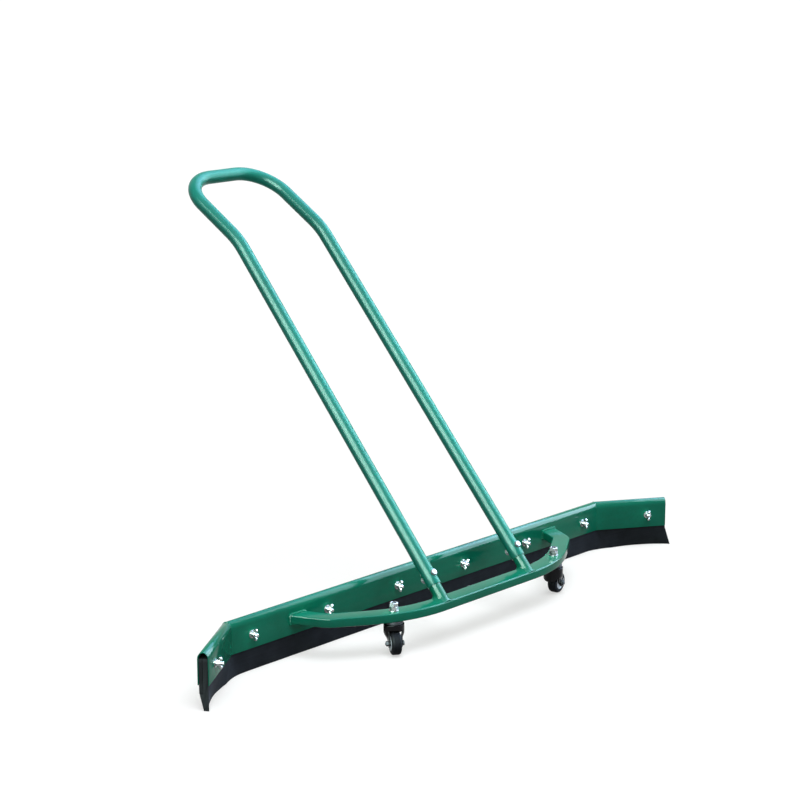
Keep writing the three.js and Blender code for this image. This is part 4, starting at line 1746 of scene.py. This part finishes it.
@dataclass
class HandleLoop:
    """The bent handle tube, the slanted sockets inside its ends, and the bolts through both."""

    shapes: ShapeShop
    diameter: float = 31.8
    wall: float = 1.5
    socket_diameter: float = 28
    socket_wall: float = 2
    socket_sides: int = 48
    socket_start: float = -30
    socket_length: float = 96
    foot_half_span: float = 141
    foot_y: float = -176
    foot_z: float = 93
    seat: float = 0.3
    leg_start: float = 34.5
    leg_length: float = 961
    leg_slope: float = math.radians(48)
    top_half_span: float = 133
    grip_slope: float = math.radians(30.5)
    grip_reach: float = 231
    knee_radius: float = 180
    loop_radius: float = 92
    bolt_rise: float = 58.5
    flare_reach: float = 6
    flare_height: float = 9
    flare_front: float = -195.4
    flare_sides: int = 72
    flare_steps: int = 8
    flare_power: float = 2.2
    flare_lip: float = 0.15
    flare_bite: float = 1
    flare_root: float = 0.3
    flare_waves: Range = (17, 0.05)
    nut_height: float = 6.5
    bolt_tail: float = 3
    thread_length: float = 8

    def foot(self, side: Side) -> Vector:
        """Where a leg's centre line meets the bow's top."""
        return Vector((side.value * self.foot_half_span, self.foot_y, self.foot_z))

    def knee(self, side: Side) -> Vector:
        """Where a leg's line meets the grip's."""
        run = self.leg_length * math.cos(self.leg_slope)
        rise = self.leg_length * math.sin(self.leg_slope)
        return Vector((side.value * self.top_half_span, self.foot_y + run, self.foot_z + rise))

    def leg_place(self, side: Side) -> Matrix:
        """A leg's frame: Z up the leg, and Y towards its lower side.

        Args:
            side: The leg's side.

        Returns:
            The frame.
        """
        up = (self.knee(side) - self.foot(side)).normalized()
        across = (Vector((1, 0, 0)) - up * up.x).normalized()
        turn = Matrix((across, up.cross(across), up)).transposed().to_4x4()
        return Matrix.Translation(self.foot(side)) @ turn

    def route(self) -> list[Vector]:
        """The handle's centre line, from the left leg's end to the right one's.

        Returns:
            The points.
        """
        share = self.leg_start / self.leg_length
        ends = {side: self.foot(side).lerp(self.knee(side), share) for side in Side}
        ahead = Vector((0, math.cos(self.grip_slope), math.sin(self.grip_slope)))
        loops = {side: self.knee(side) + ahead * self.grip_reach for side in Side}
        left = [ends[Side.LEFT], self.knee(Side.LEFT), loops[Side.LEFT]]
        right = [loops[Side.RIGHT], self.knee(Side.RIGHT), ends[Side.RIGHT]]
        radii = [self.knee_radius, self.loop_radius, self.loop_radius, self.knee_radius]
        return bent_route([*left, *right], radii)

    def bolt_holes(self) -> list[Matrix]:
        """The middle of the bolt's hole through each leg."""
        seat = up_by(self.bolt_rise) @ rotated(-math.pi / 2, "X")
        return [self.leg_place(side) @ seat for side in Side]

    def build_tube(self) -> None:
        """Sweeps, walls and drills the handle's tube."""
        # The handle takes the lighter, bluer green, whose lift is painted sheen of a bluish sky.
        skin = self.shapes.tube_skin(
            TubeSection.ROUND, self.route(), GREEN_TUBE, Width=self.diameter
        )
        handle = shaped(skin.piece("handle_tube"), walled(self.wall), bevelled())
        self.shapes.drilled(handle, GREEN_TUBE, self.bolt_holes(), M8.hole, 2 * self.diameter)
        hand_over(handle, "handle_tube", GREEN_TUBE, ["handle_tube"])

    def build_socket(self, side: Side, hole: Matrix) -> None:
        """Builds a socket, cut to the bow's top, and the weld round its foot.

        Args:
            side: The socket's side.
            hole: The middle of the bolt's hole.
        """
        name = f"socket_{side.word}"
        radius = self.socket_diameter / 2
        ends = [(radius, self.socket_start), (radius, self.socket_length)]
        rings = lathe_rings(ends, self.socket_sides)
        draft = Draft().skin(rings, self.leg_place(side), caps=False)
        draft.trim(Vector((0, 0, self.foot_z + self.seat)), Vector((0, 0, -1)))
        socket = shaped(draft.piece(name), walled(self.socket_wall))
        self.shapes.drilled(socket, GREEN_ENAMEL, [hole], M8.hole, 2 * self.diameter)
        hand_over(socket, name, GREEN_ENAMEL, [name])
        self.build_flare(side)

    def build_flare(self, side: Side) -> None:
        """Builds the dressed weld that flares from a socket's foot onto the bow.

        Args:
            side: The socket's side.
        """
        reach, top, root = self.flare_reach, self.flare_height, -self.flare_root
        steps = [i / self.flare_steps for i in range(self.flare_steps + 1)]
        profile = [(reach * (1 - t) ** self.flare_power + self.flare_lip, top * t) for t in steps]
        profile += [(-self.flare_bite, top), (-self.flare_bite, root), (reach, root)]
        radius = self.socket_diameter / 2
        long_radius = radius / math.sin(self.leg_slope)
        waves, depth = self.flare_waves
        rings = []
        for reach, height in profile:
            centre = self.foot(side) + Vector((0, height / math.tan(self.leg_slope), height))
            ring = []
            for angle in spread(self.flare_sides):
                out = reach * (1 + depth * math.sin(waves * angle + side.value))
                across = (radius + out) * math.cos(angle)
                spot = centre + Vector((across, (long_radius + out) * math.sin(angle), 0))
                ring.append(Vector((spot.x, max(spot.y, self.flare_front), spot.z)))
            rings.append(ring)
        flare = shaped(Draft().skin(rings, wrap=True).piece("flare"), bevelled())
        hand_over(flare, f"weld_socket_{side.word}", GREEN_ENAMEL)

    def build(self) -> None:
        """Builds the tube, the sockets, and the bolts and nuts on the legs."""
        self.build_tube()
        holes = self.bolt_holes()
        for side, hole in zip(Side, holes):
            self.build_socket(side, hole)
        seat = self.diameter / 2 + self.seat
        reach = self.diameter + 2 * self.seat + self.nut_height + self.bolt_tail
        bolt = M8.bolt(self.shapes, M8_HEAD, reach, self.thread_length)
        kinds = {"leg_bolt": (bolt, -seat), "leg_nut": (M8.nut(self.nut_height), seat)}
        for kind, (pattern, shift) in kinds.items():
            places = {side.word: hole @ up_by(shift) for side, hole in zip(Side, holes)}
            # The leg bolts and nuts take the darker copy of the zinc plating, as painted shade against
            # the gloss card's glare.
            self.shapes.fasten(kind, pattern, DIMMED_PLATE, places)


# Casters


@dataclass
class Caster:
    """One swivel caster: fixed stem, swivelling fork and rolling wheel."""

    shapes: ShapeShop
    side: Side
    bow_under: float = 73
    bow_top: float = 93
    seat: float = 0.3
    trail: float = 15
    wheel_radius: float = 25
    tyre_half: float = 11
    tyre_shoulder: float = 6
    tyre_lip: float = 0.6
    tyre_sides: int = 96
    shoulder_steps: int = 12
    groove_depth: float = 0.5
    groove_steps: tuple[float, ...] = (0.6, 1.0, 1.5, 1.9)
    mould_line: float = 0.25
    hub_radius: float = 15.5
    hub_rim: float = 2.5
    hub_half: float = 10.5
    hub_rim_half: float = 11.4
    hub_web_half: float = 9.8
    hub_ease: float = 0.5
    hub_sides: int = 64
    boss_radius: float = 8.5
    rib_count: int = 6
    rib_thickness: float = 1.6
    rib_inset: float = 1.2
    rib_bite: float = 0.6
    bush_radius: float = 5.5
    bush_half: float = 11.8
    bush_ease: float = 0.4
    bush_sides: int = 40
    axle_head: float = 4
    axle_nut: float = 5
    axle_tail: float = 2
    axle_thread: float = 8
    axle_bore_depth: float = 50
    fork_plate: float = 2.5
    fork_inside: float = 12.5
    fork_ease: float = 1.6
    fork_skirt: float = 9
    press_finish: tuple[int, float] = (4, 0.3)
    crown_radius: float = 22.5
    crown_top: float = 65.3
    crown_bore: Range = (14, 12)
    crown_sides: int = 64
    neck_half: float = 16
    foot_radius: float = 9
    lean: float = math.radians(25)
    flare_start: float = 28
    flare_end: float = 47
    foot_degrees: tuple[int, ...] = tuple(range(10, 91, 10))
    cheek_step: float = 2.5
    cheek_rows: int = 11
    cheek_columns: int = 14
    cheek_lap: float = 2
    hood_drop: float = 21
    hood_lap: Range = (1, 3)
    hood_sides: int = 72
    hood_power: float = 0.6
    race_radius: float = 20
    race_thickness: float = 2.2
    race_rim: float = 4.6
    race_wall: float = 2
    pin_radius: float = 5.5
    flange_radius: float = 9
    flange_thickness: float = 2.2
    ball_height: float = 67.9
    ball_radius: float = 2.3
    ball_circle: float = 12.5
    ball_count: int = 8
    ball_sides: int = 20
    ball_rings: int = 10
    cage_half: float = 0.6
    cage_reach: float = 1
    cage_sides: int = 48
    washer_outer: float = 21
    washer_thickness: float = 2
    nut_height: float = 8
    nut_turns: Range = (0.3, 0.75)
    stem_tail: float = 1.6
    stem_ease: float = 0.6
    stem_sides: int = 56
    stem_tip: Range = (0.8, 0.4)
    stem_thread: Range = (1, 2.4)

    def __post_init__(self) -> None:
        """Finds the caster's two joints in the frame, in millimetres."""
        self.name = f"caster_{self.side.word}"
        joints = {joint["name"]: Vector(joint["pos_m"]) / MM for joint in frame["joints"]}
        self.origin = joints[f"{self.name}_swivel_turn"]
        self.axle = joints[f"{self.name}_wheel_roll"]
        self.skirt = self.crown_top - self.fork_plate - self.fork_skirt

    def swivel_place(self) -> Matrix:
        """The fork's frame: its X axis trails from the stem to the axle."""
        trail = self.axle - self.origin
        return Matrix.Translation(self.origin) @ rotated(math.atan2(trail.y, trail.x))

    def stem_hole(self) -> Vector:
        """The middle of the bow's hole for the stem."""
        return self.origin + Vector((0, 0, (self.bow_under + self.bow_top) / 2))

    def axle_seat(self) -> Matrix:
        """The axle's place in the fork's frame, with its Z axis along the axle."""
        shift = Matrix.Translation((self.trail, 0, self.wheel_radius))
        return shift @ rotated(math.pi / 2, "X")

    def fit(
        self,
        piece: bpy.types.Object,
        kind: str,
        place: Matrix,
        finish: Finish,
        body: str = FRAME_BODY,
    ) -> None:
        """Moves a pattern to its place and hands it over for the caster's node of that kind.

        Args:
            piece: The pattern.
            kind: The end of the node's name.
            place: Where it goes.
            finish: Its finish.
            body: The body that it rides on.
        """
        piece.data.transform(place)
        name = f"{self.name}_{kind}"
        hand_over(piece, name, finish, [name], body)

    def build_fixed(self) -> None:
        """Builds the stem with its race and king pin, and the washer and nuts over the bow."""
        race_top = self.bow_under - self.seat
        race_under = race_top - self.race_thickness
        rim_foot = race_under - self.race_rim
        flange_top = self.crown_top - self.fork_plate - self.seat
        flange_foot = flange_top - self.flange_thickness
        washer_foot = self.bow_top + self.seat
        nut_foot = washer_foot + self.washer_thickness + self.seat
        lock_foot = nut_foot + self.nut_height + self.seat
        top = lock_foot + self.nut_height + self.stem_tail
        rim = self.race_radius - self.race_wall
        taper, tip = self.stem_tip
        profile = [
            (0, flange_foot),
            (self.flange_radius, flange_foot),
            (self.flange_radius, flange_top),
            (self.pin_radius, flange_top),
            (self.pin_radius, race_under),
            (rim, race_under),
            (rim, rim_foot),
            (self.race_radius, rim_foot),
            (self.race_radius, race_top),
            (M10.diameter / 2, race_top),
            (M10.diameter / 2, self.bow_top),
            (M10.core, self.bow_top),
            (M10.core, top - tip),
            (M10.core - taper, top),
            (0, top),
        ]
        rings = lathe_rings(eased(profile, self.stem_ease), self.stem_sides)
        stem = Draft().skin(rings).piece("stem")
        gap, shorter = self.stem_thread
        thread = {"Radius": M10.core, "Pitch": M10.pitch, "Start": self.bow_top + gap}
        length = top - self.bow_top - shorter
        self.shapes.thread.run(stem, DARK_STEEL, Length=length, **thread)
        stand = Matrix.Translation(self.origin)
        self.fit(stem, "stem", stand, DARK_STEEL)
        first_turn, second_turn = self.nut_turns
        stack = {
            "stem_washer": (M10.washer(self.washer_outer, self.washer_thickness), washer_foot, 0),
            "stem_nut": (M10.nut(self.nut_height), nut_foot, first_turn),
            "lock_nut": (M10.nut(self.nut_height), lock_foot, second_turn),
        }
        for kind, (piece, height, turn) in stack.items():
            self.fit(piece, kind, stand @ up_by(height) @ rotated(turn), ZINC_PLATE)

    def cheek(self, side: int) -> list[list[Vector]]:
        """The level rings of a cheek, which flares from its round foot up into the skirt.

        Args:
            side: -1 or 1, the side of the wheel.

        Returns:
            The rings, from the foot up.
        """
        middle, radius, skirt = self.wheel_radius, self.foot_radius, self.skirt
        waist = middle - radius * math.sin(self.lean)
        waist_x = self.trail - radius * math.cos(self.lean)
        widest = self.trail + radius
        flat = self.fork_inside + self.fork_plate
        foot = [middle - radius * math.cos(math.radians(a)) for a in self.foot_degrees]
        rise = [middle + self.cheek_step * i for i in range(1, self.cheek_rows + 1)]
        columns = self.cheek_columns
        rings = []
        for z in [*foot, *rise, skirt, skirt + self.cheek_lap]:
            chord = math.sqrt(max(radius**2 - (z - middle) ** 2, 0))
            low, high = self.trail - chord, self.trail + chord
            if z > waist:
                low = waist_x - (waist_x + self.neck_half) * progress(z, waist, skirt)
            if z > middle:
                high = widest - (widest - self.neck_half) * progress(z, middle, skirt)
            flared = progress(z, self.flare_start, self.flare_end)
            flare = flared * flared * (3 - 2 * flared)
            outer = []
            for x in [low + (high - low) * i / columns for i in range(columns + 1)]:
                round_y = math.sqrt(max(self.crown_radius**2 - x * x, 0))
                outer.append((x, flat + flare * max(round_y - flat, 0)))
            inner = [(x, y - self.fork_plate) for x, y in reversed(outer)]
            rings.append([Vector((x, side * y, z)) for x, y in (*outer, *inner)])
        return rings

    def hood(self) -> list[list[Vector]]:
        """The upright sections of the web that joins the cheeks over the wheel's leading side.

        Returns:
            The sections.
        """
        inner, outer = self.crown_radius - self.fork_plate, self.crown_radius
        low_lap, high_lap = self.hood_lap
        rings = []
        for angle in spread(self.hood_sides):
            drop_share = max(-math.cos(angle), 0) ** self.hood_power
            low = self.skirt + low_lap - self.hood_drop * drop_share
            spots = band(inner, outer, low, self.skirt + high_lap)
            rings.append([Vector((r * math.cos(angle), r * math.sin(angle), z)) for r, z in spots])
        return rings

    def fork(self) -> bpy.types.Object:
        """The pressed fork: a round crown with a skirt, run into two cheeks and a hood.

        Returns:
            The fork, about its own origin.
        """
        under = self.crown_top - self.fork_plate
        inside = self.crown_radius - self.fork_plate
        bowl = [
            (inside, under),
            (inside, self.skirt),
            (self.crown_radius, self.skirt),
            (self.crown_radius, self.crown_top),
        ]
        crown = [(0, under), *eased(bowl, self.fork_ease, 4), (0, self.crown_top)]
        draft = Draft().skin(lathe_rings(crown, self.crown_sides)).skin(self.hood(), wrap=True)
        for side in (-1, 1):
            draft.skin(self.cheek(side))
        fork = shaped(draft.piece("fork_pattern"), *cast(CAST_CELL, *self.press_finish))
        self.shapes.drilled(fork, BLACK_ENAMEL, [up_by(self.crown_top)], *self.crown_bore)
        seat = [self.axle_seat()]
        return self.shapes.drilled(fork, BLACK_ENAMEL, seat, M6.hole, self.axle_bore_depth)

    def ball_cage(self) -> bpy.types.Object:
        """The flat cage with a ball in each of its pockets.

        Returns:
            The cage, about its own origin.
        """
        middle, reach, radius = self.ball_circle, self.cage_reach, self.ball_radius
        flat = band(middle - reach, middle + reach, -self.cage_half, self.cage_half)
        cage = ring_piece("cage", flat, self.cage_sides)
        count = self.ball_rings
        angles = [math.pi * (i / count - 0.5) for i in range(1, count)]
        ball = [(radius * math.cos(a), radius * math.sin(a)) for a in angles]
        rings = lathe_rings([(0, -radius), *ball, (0, radius)], self.ball_sides)
        pattern = Draft().skin(rings, Matrix.Translation((middle, 0, 0))).piece("ball")
        return self.shapes.ringed(cage, DARK_STEEL, pattern, self.ball_count)

    def build_swivel(self) -> None:
        """Builds the balls, the fork and the axle."""
        body = f"{self.name}_swivel"
        swivel = self.swivel_place()
        cage_place = swivel @ up_by(self.ball_height)
        self.fit(self.ball_cage(), "ball_cage", cage_place, DARK_STEEL, body)
        self.fit(self.fork(), "fork", swivel, BLACK_ENAMEL, body)
        outside = self.fork_inside + self.fork_plate + self.seat
        length = 2 * outside + self.axle_nut + self.axle_tail
        axle = swivel @ self.axle_seat()
        bolt = M6.bolt(self.shapes, self.axle_head, length, self.axle_thread)
        nut = M6.nut(self.axle_nut)
        # The zinc-plated axle bolt and nut take the dark plating, as painted shade.
        for kind, piece, shift in (("axle_bolt", bolt, -outside), ("axle_nut", nut, outside)):
            self.fit(piece, kind, axle @ up_by(shift), AXLE_DIMMED_PLATE, body)

    def hub(self) -> bpy.types.Object:
        """The moulded hub: rims, a web and ribs round a boss.

        Returns:
            The hub, about its own origin.
        """
        inside = self.hub_radius - self.hub_rim
        half = [
            (self.bush_radius + self.seat, self.hub_half),
            (self.boss_radius, self.hub_half),
            (self.boss_radius, self.hub_web_half),
            (inside, self.hub_web_half),
            (inside, self.hub_rim_half),
            (self.hub_radius, self.hub_rim_half),
        ]
        profile = eased(both_faces(half), self.hub_ease, closed=True)
        hub = ring_piece("hub", profile, self.hub_sides)
        reach = self.hub_rim_half - self.rib_inset
        outline = band(self.boss_radius - self.rib_bite, inside + self.rib_bite, -reach, reach)
        rib = shaped(Draft().plate(outline, self.rib_thickness).piece("rib"), bevelled())
        return self.shapes.ringed(hub, WHITE_PLASTIC, rib, self.rib_count)

    def tyre(self) -> bpy.types.Object:
        """The crowned tyre, with a fine groove near each shoulder and a moulding line.

        Returns:
            The tyre, about its own origin.
        """
        bore = self.hub_radius + self.seat
        shoulder = self.tyre_shoulder
        flat = self.tyre_half - shoulder
        half = [(bore, self.tyre_half - self.tyre_lip), (bore + self.tyre_lip, self.tyre_half)]
        steps = self.shoulder_steps
        for angle in [math.pi / 2 * i / steps for i in range(steps + 1)]:
            radius = self.wheel_radius - shoulder * (1 - math.sin(angle))
            half.append((radius, flat + shoulder * math.cos(angle)))
        depths = (0, self.groove_depth, self.groove_depth, 0)
        for depth, step in zip(depths, self.groove_steps):
            half.append((self.wheel_radius - depth, flat - step))
        half.append((self.wheel_radius, self.mould_line))
        return ring_piece("tyre", both_faces(half), self.tyre_sides)

    def bush(self) -> bpy.types.Object:
        """The plain steel bush that the hub turns on."""
        corners = band(M6.hole / 2, self.bush_radius, -self.bush_half, self.bush_half)
        profile = eased(corners, self.bush_ease, 2, closed=True)
        return ring_piece("bush", profile, self.bush_sides)

    def build_wheel(self) -> None:
        """Builds the hub, the tyre and the bush."""
        body = f"{self.name}_wheel"
        axle = self.swivel_place() @ self.axle_seat()
        self.fit(self.hub(), "hub", axle, WHITE_PLASTIC, body)
        self.fit(self.tyre(), "tyre", axle, TYRE_RUBBER, body)
        self.fit(self.bush(), "bush", axle, DARK_STEEL, body)

    def build(self) -> None:
        """Builds the whole caster."""
        self.build_fixed()
        self.build_swivel()
        self.build_wheel()


# Studio


@dataclass
class Studio:
    """A plain pale floor, soft lights and the camera at the photograph's angle."""

    camera_place: Vector = field(default_factory=lambda: Vector((-3.3981, -3.1201, 1.5869)))
    camera_tilt: float = math.radians(90 - 13.455)
    camera_heading: float = math.radians(-46.694)
    lens: float = 95.86
    sensor: float = 36.0
    clip: Range = (0.1, 200.0)
    floor_half: float = 40.0
    floor_drop: float = 0.0006
    floor_glow: float = 0.56
    floor_white: Colour = (0.42, 0.38, 0.32)
    floor_grey: float = 0.22
    sky_low: float = 0.2
    sky_high: float = 0.42
    sky_tint: Colour = (0.95, 1.0, 1.04)
    middle: Triple = (0, 0.1, 0.4)
    top_place: Triple = (-0.3, -1.0, 4)
    top_tint: Colour = (0.87, 1.0, 1.24)
    top_level: float = 3.1
    top_spread: float = math.radians(50)
    cards: tuple[tuple, ...] = (
        ("gloss_card", (-3.7, -0.85, 2.25), (4.8, 3.5), 3700.0, (0.76, 1.0, 0.93)),
        ("sky_card", (3.15, -2.05, 2.0), (4.6, 4.9), 1600.0, (0.62, 0.82, 1.0)),
        ("roof_card", (2.6, -0.1, 3.1), (4.0, 4.0), 620.0, (0.34, 0.6, 1.0)),
    )

    def floor(self) -> None:
        """Lays the floor: near white to the eye and greyer to the light that it sends back."""
        half = self.floor_half
        corners = [(x, y, -self.floor_drop) for x, y in band(-half, half, -half, half)]
        mesh = bpy.data.meshes.new("floor")
        mesh.from_pydata(corners, [], [(0, 1, 2, 3)])
        paper = bpy.data.materials.new("floor_paper")
        shop = NodeShop.emptied(paper)
        seen = self.open_eye(shop)
        surface = {
            "Base Color": shop.between(seen, (self.floor_grey,) * 3, self.floor_white),
            "Roughness": 1.0,
            "Specular IOR Level": 0.0,
            "Emission Color": shop.between(seen, (0.0,) * 3, (1.0,) * 3),
            "Emission Strength": self.floor_glow,
        }
        sheet = shop.add("ShaderNodeBsdfPrincipled", surface)
        shop.add("ShaderNodeOutputMaterial", {"Surface": sheet})
        mesh.materials.append(paper)
        linked("floor", mesh)

    @staticmethod
    def open_eye(shop: NodeShop) -> Signal:
        """A factor of 1 where the eye, a gloss or clear glass looks, and 0 for other light.

        Args:
            shop: The maker of nodes for the tree.

        Returns:
            The factor.
        """
        camera, glossy, through = [
            shop.add("ShaderNodeLightPath", output=f"Is {ray} Ray")
            for ray in ("Camera", "Glossy", "Transmission")
        ]
        return camera.larger(glossy).larger(through)

    def world(self) -> None:
        """Sets a white surround for the eye, gloss and glass, and a dim sky for the rest."""
        made = bpy.data.worlds.new("studio")
        shop = NodeShop.emptied(made)
        way = shop.add("ShaderNodeTexCoord", output="Generated")
        up = shop.add("ShaderNodeSeparateXYZ", {"Vector": way}, "Z").larger(0.0)
        level = up * (self.sky_high - self.sky_low) + self.sky_low
        dim = {"Color": (*self.sky_tint, 1), "Strength": level}
        sky = shop.add("ShaderNodeBackground", dim)
        white = shop.add("ShaderNodeBackground", {"Color": (1, 1, 1, 1), "Strength": 1.0})
        mixed = shop.add("ShaderNodeMixShader", {0: self.open_eye(shop), 1: sky, 2: white})
        shop.add("ShaderNodeOutputWorld", {"Surface": mixed})
        bpy.context.scene.world = made

    def lamp(self, name: str, kind: str, place: Triple, **settings: object) -> bpy.types.Object:
        """Hangs a lamp that faces the squeegee's middle.

        Args:
            name: The lamp's name.
            kind: Its type.
            place: Where it hangs, from the squeegee's middle.
            settings: Its own settings.

        Returns:
            The lamp.
        """
        data = bpy.data.lights.new(name, kind)
        for key, value in settings.items():
            setattr(data, key, value)
        made = linked(name, data)
        made.location = Vector(self.middle) + Vector(place)
        aim = Vector(self.middle) - made.location
        made.rotation_euler = aim.to_track_quat("-Z", "Y").to_euler()
        return made

    def lights(self) -> None:
        """Hangs a broad soft light overhead and the cards that only the gloss shows."""
        tint, spread_angle, level = self.top_tint, self.top_spread, self.top_level
        self.lamp("top_light", "SUN", self.top_place, angle=spread_angle, energy=level, color=tint)
        for name, place, (wide, high), power, tint in self.cards:
            size = {"shape": "RECTANGLE", "size": wide, "size_y": high}
            card = self.lamp(name, "AREA", place, energy=power, color=tint, **size)
            card.visible_diffuse = False

    def camera(self) -> None:
        """Sets the camera at the photograph's place."""
        data = bpy.data.cameras.new("camera")
        data.lens, data.sensor_width = self.lens, self.sensor
        data.clip_start, data.clip_end = self.clip
        made = linked("camera", data)
        made.location = self.camera_place
        made.rotation_euler = Euler((self.camera_tilt, 0, self.camera_heading))
        bpy.context.scene.camera = made

    def build(self) -> None:
        """Sets up the whole studio."""
        bpy.context.scene.view_settings.view_transform = "Standard"
        self.floor()
        self.world()
        self.lights()
        self.camera()


def main() -> None:
    """Builds the studio and then the squeegee, from the blade up."""
    logging.basicConfig(level=logging.INFO, format="%(name)s %(message)s", stream=sys.stdout)
    Studio().build()
    shapes = ShapeShop()
    clamps = ClampRow(shapes)
    BladeChannel(shapes, clamps).build()
    RubberStrips(shapes, clamps).build()
    clamps.build()
    casters = [Caster(shapes, side) for side in Side]
    BowTube(shapes, stem_holes=tuple(caster.stem_hole() for caster in casters)).build()
    HandleLoop(shapes).build()
    for caster in casters:
        caster.build()


if __name__ == "__main__":
    main()
